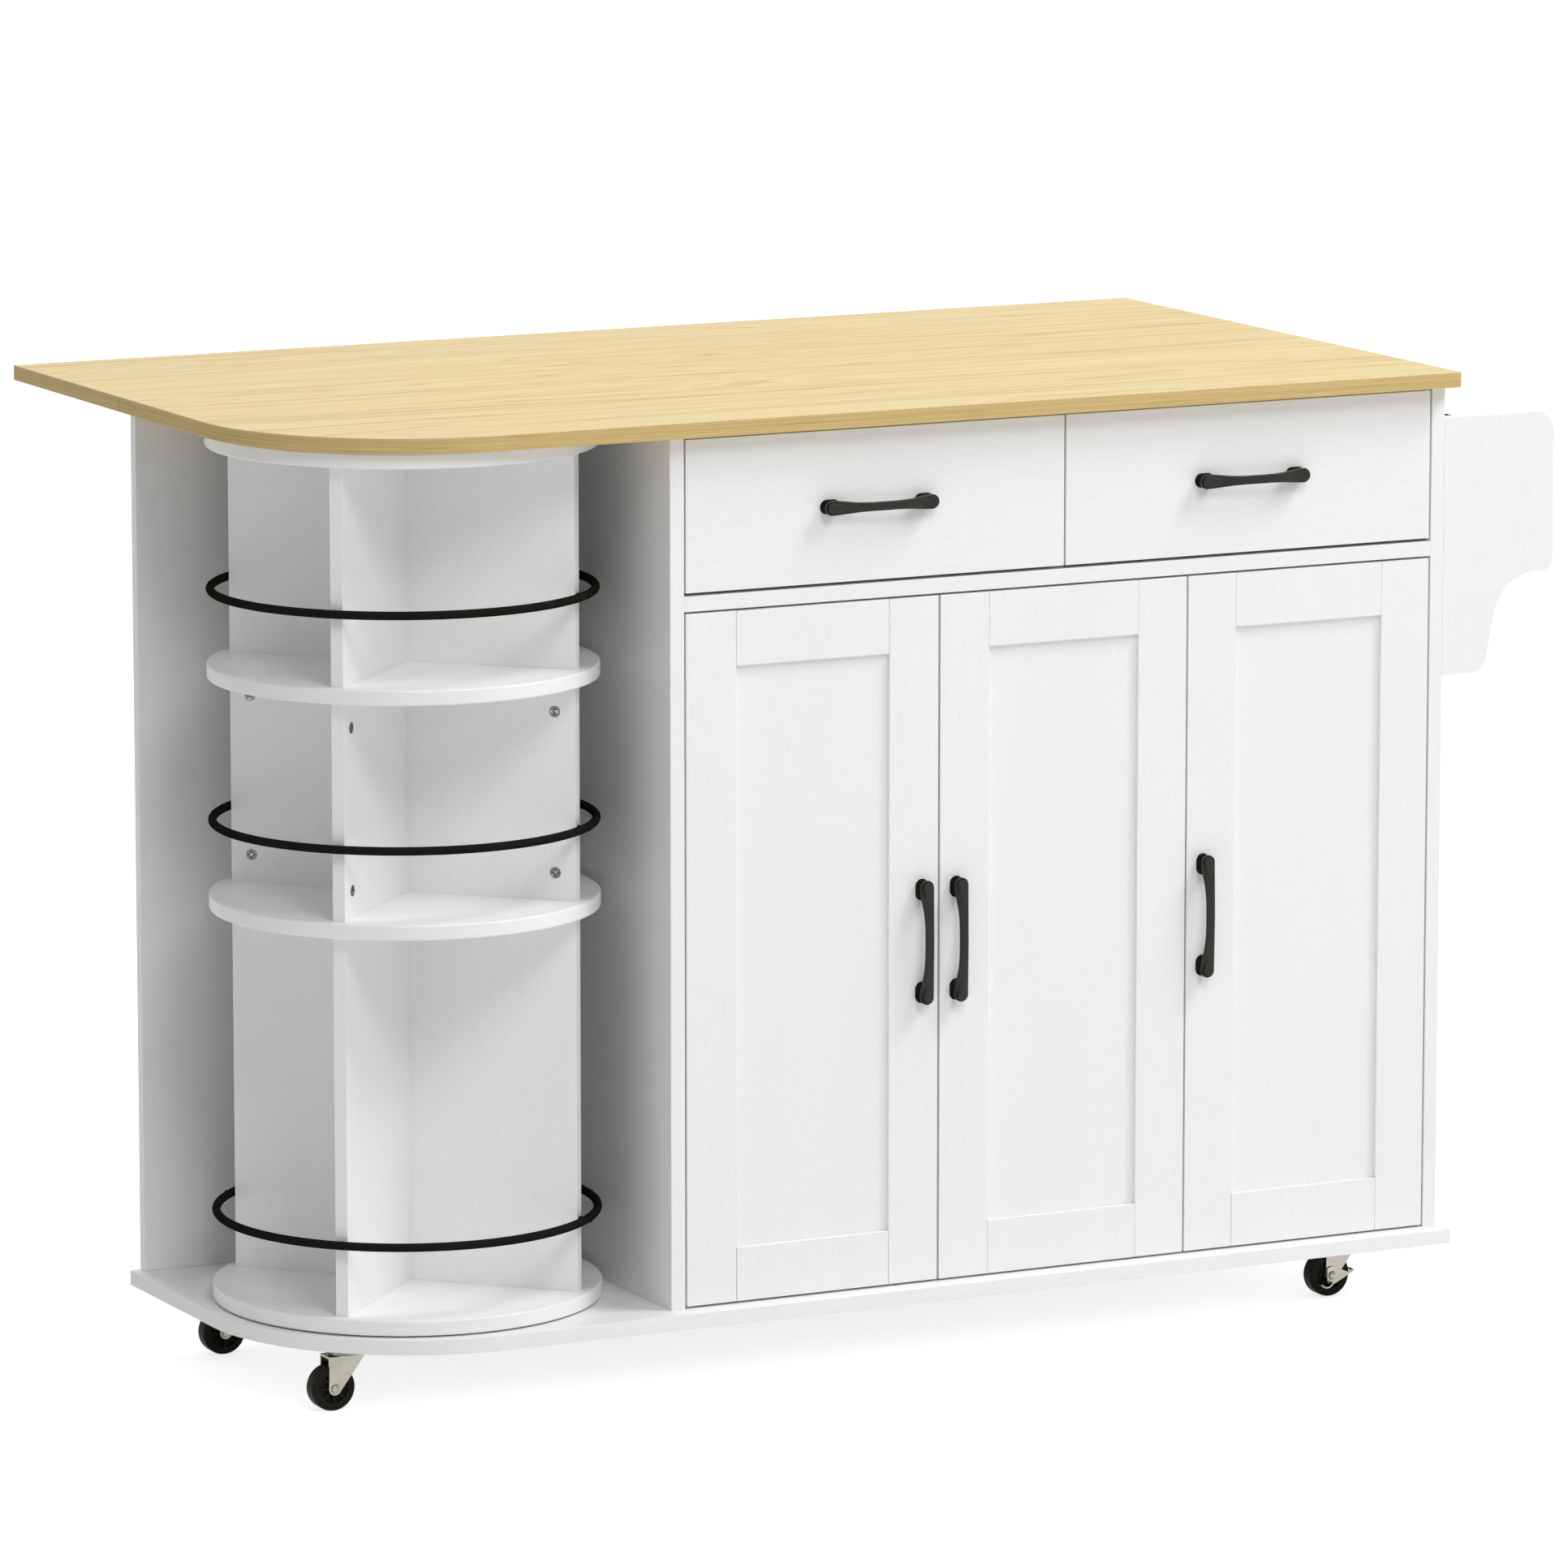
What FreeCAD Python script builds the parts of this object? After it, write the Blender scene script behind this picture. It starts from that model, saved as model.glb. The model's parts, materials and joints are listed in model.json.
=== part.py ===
"""Rolling kitchen island with a turning shelf tower, two drawers, three doors and a drop leaf.

The model is laid out in the carcass frame: x runs right from the outer face of the left
cabinet side, y runs back from the front edges of the cabinet sides, z runs up from the top
of the base board. Each piece is moved to the part's own frame, whose origin is the middle
of the floor under the object, when it is written.
"""
import FreeCAD, Part
import math
import os

Vector = FreeCAD.Vector
X_AXIS, Y_AXIS, Z_AXIS = Vector(1, 0, 0), Vector(0, 1, 0), Vector(0, 0, 1)

# Carcass
board = 15.0                    # sides, base, worktop, shelves, partition and dividers
back_board = 12.0               # boards that close the back
cabinet_width = 861.0           # over the two cabinet sides
cabinet_depth = 402.0
cabinet_height = 858.0          # from the base board to the underside of the worktop
drawer_opening = 156.5          # from the partition's top to the worktop
bay_reach = 402.0               # base and worktop beyond the cabinet, on the left
right_overhang = 7.0
front_overhang = 22.0
nose_radius = 215.0             # round front left corner of base and worktop
corner_radius = 4.0
bay_back_inset = 11.0           # from the base's left end to the bay's back board
shelf_setback = 60.0            # from the doors to a shelf's front edge
shelf_height = 330.0            # underside of the two inner shelves
shelf_gap = 1.0
pin_radius = 2.5                # shelf pins
pin_reach = 9.0
pin_depth = 7.0
pin_inset = 45.0

# Drop leaf and its folding brackets
leaf_depth = 275.0
leaf_gap = 0.5
pivot_setback = 9.0             # pivot line behind the carcass
pivot_drop = 9.0                # pivot line under the worktop's underside
sheet = 2.0                     # steel of the bracket channels
wall_rail_length = 236.0
wall_rail_depth = 14.0
wall_rail_half_width = 11.0
arm_length = 196.0
arm_rim = 6.0                   # depth of the arm's side flanges away from its pivots
ear_radius = 6.0
bracket_pin_radius = 2.5
bracket_head_radius = 4.5
bracket_head = 2.5
stay_low = 110.0                # lower stay pivot under the main pivot
stay_out = 150.0                # upper stay pivot out along the arm
link_thickness = 3.0
link_half_width = 4.5
side_play = 0.3                 # between plates that slide past each other
pin_play = 0.05                 # radial clearance of a pin in its hole
bracket_edge = 100.0            # bracket middle from the bay back board's outer edge
bracket_right_inset = 31.0      # last bracket's middle from the cabinet's right face

# Doors
door_count = 3
door_gap = 2.0
door_bottom_gap = 2.0
door_thickness = 15.0
frame_width = 54.0              # stiles and rails
panel_recess = 5.0
panel_thickness = 6.0
groove_depth = 7.0
groove_play = 0.2
cup_radius = 17.5
cup_depth = 11.5
cup_wall = 1.2
cup_flange = 1.0
cup_flange_reach = 4.0
cup_inset = 23.5                # cup middle from the hinge edge
hinge_from_end = 95.0           # hinge middle from the door's top and bottom
hinge_plate = 2.5
hinge_plate_depth = 42.0
hinge_plate_height = 46.0
hinge_plate_setback = 30.0      # from the door's back to the plate
hinge_arm_width = 14.0
hinge_arm_height = 7.0
hinge_nose = 9.0
hinge_play = 0.3
hinge_screw_radius = 4.0
hinge_screw_head = 1.2
hinge_screw_spacing = 32.0

# Handles
handle_length = 124.0
handle_reach = 14.5             # door face to the front of the bar
bar_thickness = 5.0
bar_bow = 5.5                   # middle of the bar stands further out than its ends
pad_half_width = 7.2
waist_half_width = 4.4
foot_length = 20.5
foot_width = 13.4
boss_length = 22.0
boss_half_width = 5.6
boss_tip_half_width = 2.6
boss_height = 1.3
boss_end_gap = 1.6
handle_edge_inset = 18.0        # bar middle from the door's free edge

# Drawers
drawer_gap = 1.0                # half the slit between the drawer fronts
drawer_bottom_gap = 3.2
drawer_top_gap = 4.2
drawer_front = 15.0
drawer_wall = 12.0
drawer_floor = 5.0
drawer_floor_lift = 8.0
drawer_box_height = 105.0
drawer_box_lift = 12.0          # box above the partition
drawer_back_room = 45.0         # behind the box, for cables and runner ends
runner_thickness = 12.5         # room for a runner beside the box
runner_sheet = 1.2
runner_end_gap = 30.0           # runner shorter than the box
runner_height = 35.0
runner_inner_height = 25.0
runner_overlap = 1.3            # inner channel clear of the outer channel's web
runner_setback = 2.0
runner_play = 0.3
retainer_length = 60.0
retainer_thickness = 5.0

# Turning shelf tower
disc_radius = 190.8
tower_board = 12.5              # upright panels of the tower
tower_bottom_gap = 1.6
tower_top_gap = 0.8
tier_height = 212.0             # the two upper tiers
disc_side_gap = 8.3             # disc edge to the cabinet side
disc_back_gap = 17.0            # disc edge to the bay's back board
tower_turn = -45.0              # degrees, cross of panels at rest
panel_inset = 12.0              # panel ends from the disc's rim
ring_rod_radius = 4.2
ring_height = 71.5              # rod middle above its shelf
ring_post_radius = 2.6
ring_screw_radius = 3.2
ring_screw_head = 1.2
cam_radius = 5.5
cam_depth = 10.0
cam_play = 0.1
cam_slot = 1.4
cam_slot_depth = 1.6
cam_slot_length = 7.5
cam_from_end = 21.0
cam_from_shelf = 27.0
bearing_radius = 75.0
bearing_width = 20.0
bearing_lower = 3.4
bearing_upper = 3.6
bearing_play = 0.3
bearing_recess_play = 0.5
pivot_radius = 5.0
pivot_reach = 9.0               # pin above the top disc
pivot_seat = 10.0               # pin in the top disc
bushing_wall = 3.0
bushing_height = 10.0

# Side rack
rack_reach = 127.8
rack_height = 260.5
rack_drop = 33.0                # rack top under the worktop
rack_lip_height = 151.0         # height of the wide upper part
rack_foot_reach = 51.0
rack_corner = 22.0
rack_lip_corner = 11.0
rack_foot_corner = 17.0
rack_sweep = 48.0               # radius of the hollow under the wide part
rack_lean = 11.4                # degrees, foot's outer edge from upright
rack_shelf_reach = 114.0
rack_rod_radius = 4.0
rack_rod_inset = 18.0
rack_rod_drop = 28.0
rack_rod_pitch = 54.0
rack_rod_count = 2
towel_bar_radius = 6.0
towel_bar_reach = 31.0
towel_bar_lift = 27.0
rod_seat = 6.0
rod_play = 0.1

# Casters
caster_height = 62.0
wheel_radius = 22.5
wheel_width = 17.0
wheel_edge = 2.5
hub_recess_radius = 15.0
hub_radius = 7.0
hub_recess = 3.5
spoke_count = 8
spoke_width = 2.0
axle_radius = 2.5
axle_head_radius = 3.8
axle_head = 1.5
caster_trail = 13.0
fork_sheet = 2.0
fork_play = 0.8                 # wheel to fork cheek
fork_toe = 6.3                  # radius round the axle
fork_rear = 18.8                # fork top behind and before the swivel
fork_drop = 8.1                 # fork top under the base board
caster_plate = 2.0
caster_plate_side = 38.0
race_radius = 14.0
race_play = 0.3
kingpin_radius = 4.0
kingpin_head_radius = 7.0
kingpin_head = 1.8
plate_screw_radius = 3.2
plate_screw_head = 1.6
plate_screw_inset = 5.5
caster_end_inset = 82.0         # swivel from the base's ends
caster_depth_inset = 68.0       # swivel from the carcass front and back
brake_sheet = 1.5
brake_play = 0.3
brake_eye_radius = 9.2
brake_flat = 5.6                # eye cut flat behind the axle
brake_beak_out = 18.5
brake_beak_up = 0.5
brake_tip_out = 24.3
brake_tip_up = 3.5
brake_tip_radius = 1.3
pedal_length = 9.0              # tip folded in over the tread
heel_out = 9.8                  # middle of the dished heel tab
heel_down = 3.3
heel_radius = 7.8
heel_start = -20.0              # degrees, ends of the tab's arc
heel_end = -150.0
heel_reach = 7.5                # tab folded out from the lever
braked = ("front_right", "back_right")

# Cut tools run this far past a face, and edges closer than this meet
overrun = 1.0
touch = 0.01

# Places that follow from the sizes above
base_left = -bay_reach
base_right = cabinet_width + right_overhang
base_front = -front_overhang
worktop_bottom = cabinet_height
partition_top = cabinet_height - drawer_opening
partition_bottom = partition_top - board
back_face = cabinet_depth - back_board
drawer_box_length = back_face - drawer_back_room - drawer_front
runner_length = drawer_box_length - runner_end_gap
leaf_front = cabinet_depth + leaf_gap
leaf_back = leaf_front + leaf_depth
pivot_y = cabinet_depth + pivot_setback
pivot_z = worktop_bottom - pivot_drop
rack_right = cabinet_width + rack_reach
opening_left = board
opening_right = cabinet_width - board
door_pitch = (opening_right - opening_left - door_gap) / door_count
door_width = door_pitch - door_gap
door_bottom = door_bottom_gap
door_top = partition_bottom - door_gap
divider_front = door_thickness + door_gap
divider_middle = opening_left + door_gap / 2 + 2 * door_pitch
drawer_middle = cabinet_width / 2
tower_x = -disc_side_gap - disc_radius
tower_y = back_face - disc_back_gap - disc_radius
panel_end = disc_radius - panel_inset
disc_bottoms = [tower_bottom_gap]
top_disc_bottom = cabinet_height - tower_top_gap - board
disc_bottoms += [top_disc_bottom - 2 * (tier_height + board), top_disc_bottom - tier_height - board,
                 top_disc_bottom]
bracket_middles = (base_left + bay_back_inset + bracket_edge,
                   (base_left + bay_back_inset + bracket_edge + cabinet_width - bracket_right_inset) / 2,
                   cabinet_width - bracket_right_inset)
axle_z = -board - caster_height + wheel_radius
caster_places = {
    "front_left": (base_left + caster_end_inset, caster_depth_inset),
    "back_left": (base_left + caster_end_inset, cabinet_depth - caster_depth_inset),
    "front_right": (base_right - caster_end_inset, caster_depth_inset),
    "back_right": (base_right - caster_end_inset, cabinet_depth - caster_depth_inset),
}

# From the carcass frame to the part's own frame
home = Vector(-(base_left + rack_right) / 2, -(base_front + leaf_back) / 2, caster_height + board)


def save(name, solids):
    """Write one node, made of one solid or of several separate ones."""
    solids = solids if isinstance(solids, list) else [solids]
    shape = Part.makeCompound(solids) if len(solids) > 1 else solids[0]
    shape = shape.copy()
    shape.translate(home)
    shape.exportStep(os.path.join("parts", name + ".step"))


def block(x0, x1, y0, y1, z0, z1):
    return Part.makeBox(x1 - x0, y1 - y0, z1 - z0, Vector(x0, y0, z0))


def rod(start, end, radius):
    way = end - start
    return Part.makeCylinder(radius, way.Length, start, way)


def plate(wire, thickness_vector):
    return Part.Face(wire).extrude(thickness_vector)


def fused(shapes):
    return shapes[0].multiFuse(shapes[1:]).removeSplitter()


def arc_about(centre, radius, start, end, frame_x, frame_y):
    """Arc edge about centre, from angle start to angle end in the plane of two unit vectors."""
    def at(angle):
        turn = math.radians(angle)
        return centre + frame_x * (radius * math.cos(turn)) + frame_y * (radius * math.sin(turn))
    return Part.Arc(at(start), at((start + end) / 2), at(end)).toShape()


def joined(edges):
    """Close a chain of edges with straight runs between their ends."""
    loop = []
    for index, edge in enumerate(edges):
        loop.append(edge)
        here = edge.lastVertex(True).Point
        there = edges[(index + 1) % len(edges)].firstVertex(True).Point
        if (there - here).Length > touch:
            loop.append(Part.makeLine(here, there))
    return Part.Wire(loop)


def tapered_lobe(a, a_radius, b, b_radius, frame_x, frame_y):
    """Wire round two circles and their outer tangents."""
    way = b - a
    heading = math.degrees(math.atan2(way.dot(frame_y), way.dot(frame_x)))
    lean = math.degrees(math.acos((a_radius - b_radius) / way.Length))
    return joined([
        arc_about(a, a_radius, heading + lean, heading - lean + 360, frame_x, frame_y),
        arc_about(b, b_radius, heading - lean, heading + lean, frame_x, frame_y),
    ])


# Carcass boards

def deck(z0, back_y):
    """Base board or worktop: one large round corner at the front left."""
    left, right, front = base_left, base_right, base_front
    nose = Vector(left + nose_radius, front + nose_radius, z0)
    corner = Vector(right - corner_radius, front + corner_radius, z0)
    wire = joined([
        arc_about(nose, nose_radius, 180, 270, X_AXIS, Y_AXIS),
        arc_about(corner, corner_radius, 270, 360, X_AXIS, Y_AXIS),
        Part.makeLine(Vector(right, back_y, z0), Vector(left, back_y, z0)),
    ])
    return plate(wire, Z_AXIS * board)


def make_base_board():
    save("base_board", deck(-board, cabinet_depth))


def make_worktop():
    top = deck(worktop_bottom, cabinet_depth)
    bore = rod(Vector(tower_x, tower_y, worktop_bottom - overrun),
               Vector(tower_x, tower_y, worktop_bottom + bushing_height), pivot_radius + bushing_wall)
    save("worktop", top.cut(bore))


def make_pivot_bushing():
    low = Vector(tower_x, tower_y, worktop_bottom)
    high = Vector(tower_x, tower_y, worktop_bottom + bushing_height)
    sleeve = rod(low, high, pivot_radius + bushing_wall)
    bore = rod(low - Z_AXIS * overrun, high + Z_AXIS * overrun, pivot_radius + pin_play)
    save("pivot_bushing", sleeve.cut(bore))


def pin_places(left, right):
    """Shelf pin points on the two walls of a compartment, with the way each pin points."""
    front = divider_front + shelf_setback + pin_inset
    rear = back_face - pin_inset
    return [(Vector(x, y, shelf_height - pin_radius), way)
            for x, way in ((left, 1), (right, -1)) for y in (front, rear)]


def compartments():
    """Left and right walls of the two door compartments."""
    return ((opening_left, divider_middle - board / 2), (divider_middle + board / 2, opening_right))


def shelf_pin_tools(radius):
    pins = []
    for left, right in compartments():
        for place, way in pin_places(left, right):
            pins.append(rod(place - X_AXIS * (way * pin_depth), place + X_AXIS * (way * pin_reach), radius))
    return pins


def with_pin_holes(wall):
    for tool in shelf_pin_tools(pin_radius):
        wall = wall.cut(tool)
    return wall


def make_carcass():
    left = block(0, board, 0, cabinet_depth, 0, cabinet_height)
    right = block(opening_right, cabinet_width, 0, cabinet_depth, 0, cabinet_height)
    divider = block(divider_middle - board / 2, divider_middle + board / 2,
                    divider_front, back_face, 0, partition_bottom)
    save("left_side_panel", with_pin_holes(left))
    save("right_side_panel", with_pin_holes(right))
    save("centre_divider", with_pin_holes(divider))
    save("drawer_partition", block(opening_left, opening_right, 0, back_face,
                                   partition_bottom, partition_top))
    save("drawer_divider", block(drawer_middle - board / 2, drawer_middle + board / 2,
                                 divider_front, back_face, partition_top, cabinet_height))
    save("cabinet_back", block(opening_left, opening_right, back_face, cabinet_depth, 0, cabinet_height))
    save("bay_back_panel", block(base_left + bay_back_inset, 0, back_face, cabinet_depth, 0, cabinet_height))
    save("shelves", [block(a + shelf_gap, b - shelf_gap, divider_front + shelf_setback, back_face - shelf_gap,
                           shelf_height, shelf_height + board) for a, b in compartments()])
    save("shelf_pins", shelf_pin_tools(pin_radius))


# Handles, built flat: u along the bar, v across it, w away from the door

def smooth_run(points):
    curve = Part.BSplineCurve()
    curve.interpolate(points)
    return curve.toShape()


def both_ends(half):
    """Points from +u to the middle, then their mirror images on to -u."""
    return half + [Vector(-point.x, point.y, point.z) for point in reversed(half[:-1])]


def handle_bar():
    """Bowed bar with a waist between two round pads."""
    half_length = handle_length / 2
    pad_u = half_length - pad_half_width
    low, high = handle_reach - bar_thickness, handle_reach + bar_bow
    waist_shares = ((1.0, 1.0), (0.72, 0.55), (0.4, 0.12), (0.0, 0.0))
    bow_shares = ((1.0, 0.0), (0.8, 0.0), (0.5, 0.45), (0.25, 0.86), (0.0, 1.0))

    def side(sign):
        swell = pad_half_width - waist_half_width
        half = [Vector(pad_u * u, sign * (waist_half_width + swell * v), low) for u, v in waist_shares]
        points = both_ends(half)
        return smooth_run(points if sign > 0 else points[::-1])

    def bow(level):
        v = -pad_half_width - overrun
        return smooth_run(both_ends([Vector(half_length * u, v, level + bar_bow * w) for u, w in bow_shares]))

    ends = [arc_about(Vector(sign * pad_u, 0, low), pad_half_width, turn, turn + 180, X_AXIS, Y_AXIS)
            for sign, turn in ((1, -90), (-1, 90))]
    outline = plate(joined([ends[0], side(1), ends[1], side(-1)]), Z_AXIS * (high - low))
    upper, lower = bow(handle_reach), bow(low)
    lower.reverse()
    band = plate(joined([upper, lower]), Y_AXIS * (2 * pad_half_width + 2 * overrun))
    return outline.common(band)


def handle_foot(sign):
    """Oval post between the door and one end of the bar."""
    end = sign * (handle_length / 2 - pad_half_width)
    a, b = Vector(end, 0, 0), Vector(end - sign * (foot_length - foot_width), 0, 0)
    outline = tapered_lobe(a, foot_width / 2, b, foot_width / 2, X_AXIS, Y_AXIS)
    return plate(outline, Z_AXIS * (handle_reach - bar_thickness / 2))


def handle_boss(sign):
    """Raised egg shape on the front of a pad, narrow towards the waist."""
    root = handle_reach - bar_thickness / 2
    outer = sign * (handle_length / 2 - boss_end_gap - boss_half_width)
    inner = outer - sign * (boss_length - boss_half_width - boss_tip_half_width)
    outline = tapered_lobe(Vector(outer, 0, root), boss_half_width,
                           Vector(inner, 0, root), boss_tip_half_width, X_AXIS, Y_AXIS)
    return plate(outline, Z_AXIS * (bar_thickness / 2 + boss_height))


def handle_shape():
    pieces = [handle_bar()]
    for sign in (-1, 1):
        pieces += [handle_foot(sign), handle_boss(sign)]
    return fused(pieces)


def placed_handle(x, z, upright):
    shape = handle_shape()
    shape.rotate(Vector(0, 0, 0), X_AXIS, 90)
    if upright:
        shape.rotate(Vector(0, 0, 0), Y_AXIS, -90)
    shape.translate(Vector(x, 0, z))
    return shape


# Doors

def door_span(index):
    left = opening_left + door_gap + index * door_pitch
    return left, left + door_width


def cup_places(index, hinge_left):
    left, right = door_span(index)
    x = left + cup_inset if hinge_left else right - cup_inset
    return [Vector(x, door_thickness, z) for z in (door_bottom + hinge_from_end, door_top - hinge_from_end)]


def door_frame(index, hinge_left):
    """Two stiles and two rails with a groove for the panel and bores for the hinge cups."""
    left, right = door_span(index)
    inner_left, inner_right = left + frame_width, right - frame_width
    low, high = door_bottom + frame_width, door_top - frame_width
    groove = block(inner_left - groove_depth, inner_right + groove_depth,
                   panel_recess - groove_play, panel_recess + panel_thickness + groove_play,
                   low - groove_depth, high + groove_depth)
    members = [
        block(left, inner_left, 0, door_thickness, door_bottom, door_top),
        block(inner_right, right, 0, door_thickness, door_bottom, door_top),
        block(inner_left, inner_right, 0, door_thickness, door_bottom, low),
        block(inner_left, inner_right, 0, door_thickness, high, door_top),
    ]
    bores = [rod(place - Y_AXIS * cup_depth, place + Y_AXIS * overrun, cup_radius)
             for place in cup_places(index, hinge_left)]
    return [member.cut(groove).cut(bores[0]).cut(bores[1]) for member in members]


def door_panel(index):
    left, right = door_span(index)
    reach = groove_depth - groove_play
    return block(left + frame_width - reach, right - frame_width + reach,
                 panel_recess, panel_recess + panel_thickness,
                 door_bottom + frame_width - reach, door_top - frame_width + reach)


def hinge_cup(place):
    """Pressed cup with a round flange that lies on the back of the stile."""
    cup = rod(place - Y_AXIS * cup_depth, place, cup_radius)
    flange = rod(place, place + Y_AXIS * cup_flange, cup_radius + cup_flange_reach)
    hollow = rod(place - Y_AXIS * (cup_depth - cup_wall), place + Y_AXIS * (cup_flange + overrun),
                 cup_radius - cup_wall)
    bridge = block(place.x - hinge_nose / 2, place.x + hinge_nose / 2,
                   place.y - cup_flange, place.y + cup_flange,
                   place.z - cup_radius + cup_wall / 2, place.z + cup_radius - cup_wall / 2)
    return fused([cup.fuse(flange).cut(hollow), bridge])


def hinge_arm(place, wall_x, way):
    """Plate on the cabinet wall and the arm that reaches forward to the cup."""
    y0 = door_thickness + hinge_plate_setback
    y1 = y0 + hinge_plate_depth
    nose_y = place.y + cup_flange + hinge_play
    reach = abs(place.x - wall_x) + hinge_nose / 2
    half = hinge_arm_width / 2

    def slab(a, b, ya, yb, za, zb):
        xs = sorted((wall_x + way * a, wall_x + way * b))
        return block(xs[0], xs[1], ya, yb, za, zb)

    base = slab(0, hinge_plate, y0, y1, place.z - hinge_plate_height / 2, place.z + hinge_plate_height / 2)
    arm = slab(hinge_plate, hinge_plate + hinge_arm_height, nose_y + hinge_nose, y1,
               place.z - half, place.z + half)
    crank = slab(hinge_plate, reach, nose_y + hinge_nose / 2, nose_y + hinge_nose + hinge_arm_height,
                 place.z - half, place.z + half)
    nose = slab(reach - hinge_nose, reach, nose_y, nose_y + hinge_nose, place.z - half, place.z + half)
    screws = []
    for sign in (-1, 1):
        foot = Vector(wall_x + way * hinge_plate, (y0 + y1) / 2, place.z + sign * hinge_screw_spacing / 2)
        screws.append(rod(foot, foot + X_AXIS * (way * hinge_screw_head), hinge_screw_radius))
    return fused([base, arm, crank, nose] + screws)


door_names = ("left_door", "middle_door", "right_door")
hinged_left = (True, False, False)


def make_doors():
    arms = []
    for index, name in enumerate(door_names):
        left, right = door_span(index)
        hinge_left = hinged_left[index]
        save(name + "_frame", door_frame(index, hinge_left))
        save(name + "_panel", door_panel(index))
        places = cup_places(index, hinge_left)
        save(name + "_hinge_cups", [hinge_cup(place) for place in places])
        handle_x = right - handle_edge_inset if hinge_left else left + handle_edge_inset
        save(name + "_handle", placed_handle(handle_x, (door_bottom + door_top) / 2, True))
        walls = {0: opening_left, 1: divider_middle - board / 2, 2: opening_right}
        arms += [hinge_arm(place, walls[index], 1 if hinge_left else -1) for place in places]
    save("hinge_arms", arms)


# Drawers

def drawer_spans():
    """Opening of each drawer: left wall and right wall."""
    return (("left_drawer", opening_left, drawer_middle - board / 2),
            ("right_drawer", drawer_middle + board / 2, opening_right))


def channel(wall_x, way, depth, half_height, middle_z, y0):
    """Runner channel with its web on wall_x and its flanges pointing along way."""
    xs = sorted((wall_x, wall_x + way * depth))
    inner = sorted((wall_x + way * runner_sheet, wall_x + way * (depth + overrun)))
    outer = block(xs[0], xs[1], y0, y0 + runner_length, middle_z - half_height, middle_z + half_height)
    hollow = block(inner[0], inner[1], y0 - overrun, y0 + runner_length + overrun,
                   middle_z - half_height + runner_sheet, middle_z + half_height - runner_sheet)
    return outer.cut(hollow)


def make_drawers():
    box_bottom = partition_top + drawer_box_lift
    box_top = box_bottom + drawer_box_height
    runner_z = (box_bottom + box_top) / 2
    front_bottom, front_top = partition_top + drawer_bottom_gap, cabinet_height - drawer_top_gap
    box_back = drawer_front + drawer_box_length
    runner_y = divider_front + runner_setback
    channel_depth = runner_thickness - runner_overlap - runner_sheet
    cabinet_side = []
    for name, left, right in drawer_spans():
        front_left = drawer_middle + drawer_gap if name == "right_drawer" else opening_left + door_gap
        front_right = drawer_middle - drawer_gap if name == "left_drawer" else opening_right - door_gap
        save(name + "_front", block(front_left, front_right, 0, drawer_front, front_bottom, front_top))
        a, b = left + runner_thickness, right - runner_thickness
        groove = block(a + drawer_wall / 2, b - drawer_wall / 2, drawer_front, box_back + overrun,
                       box_bottom + drawer_floor_lift, box_bottom + drawer_floor_lift + drawer_floor)
        sides = [block(x, x + drawer_wall, drawer_front, box_back, box_bottom, box_top).cut(groove)
                 for x in (a, b - drawer_wall)]
        rear = block(a + drawer_wall, b - drawer_wall, box_back - drawer_wall, box_back,
                     box_bottom + drawer_floor_lift + drawer_floor, box_top)
        floor = block(a + drawer_wall / 2, b - drawer_wall / 2, drawer_front, box_back,
                      box_bottom + drawer_floor_lift, box_bottom + drawer_floor_lift + drawer_floor)
        save(name + "_box", sides + [rear, floor])
        middle_x, middle_z = (front_left + front_right) / 2, (front_bottom + front_top) / 2
        save(name + "_handle", placed_handle(middle_x, middle_z, False))
        inner = []
        for wall, side, way in ((left, a, 1), (right, b, -1)):
            cabinet_side.append(channel(wall, way, channel_depth, runner_height / 2, runner_z, runner_y))
            inner.append(channel(side, -way, channel_depth, runner_inner_height / 2, runner_z, runner_y))
            cabinet_side += retainers(wall, way, runner_z, runner_y)
        save(name + "_runners", inner)
    save("drawer_slide_rails", cabinet_side)


def retainers(wall, way, middle_z, y0):
    """Ball strips between the flanges of the two channels, near the front."""
    strips = []
    for sign in (-1, 1):
        zs = sorted((middle_z + sign * (runner_inner_height / 2 + runner_play),
                     middle_z + sign * (runner_height / 2 - runner_sheet)))
        xs = sorted((wall + way * (runner_thickness - retainer_thickness) / 2,
                     wall + way * (runner_thickness + retainer_thickness) / 2))
        strips.append(block(xs[0], xs[1], y0, y0 + retainer_length, zs[0], zs[1]))
    return strips


# Turning shelf tower, built about its own axis and turned at the end

def tower_placed(shape):
    shape.rotate(Vector(0, 0, 0), Z_AXIS, tower_turn)
    shape.translate(Vector(tower_x, tower_y, 0))
    return shape


def tier_spans():
    return [(low + board, high) for low, high in zip(disc_bottoms, disc_bottoms[1:])]


def disc(bottom):
    return Part.makeCylinder(disc_radius, board, Vector(0, 0, bottom))


def make_tower_discs():
    base, low, high, top = [disc(bottom) for bottom in disc_bottoms]
    seat = bearing_lower + bearing_play + bearing_upper
    recess = (Part.makeCylinder(bearing_radius + bearing_recess_play, seat)
              .cut(Part.makeCylinder(bearing_radius - bearing_width - bearing_recess_play, seat)))
    top_z = top_disc_bottom + board
    pin_seat = rod(Vector(0, 0, top_z - pivot_seat), Vector(0, 0, top_z + overrun), pivot_radius)
    save("tower_discs", [tower_placed(s) for s in (base.cut(recess), low, high, top.cut(pin_seat))])


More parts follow.
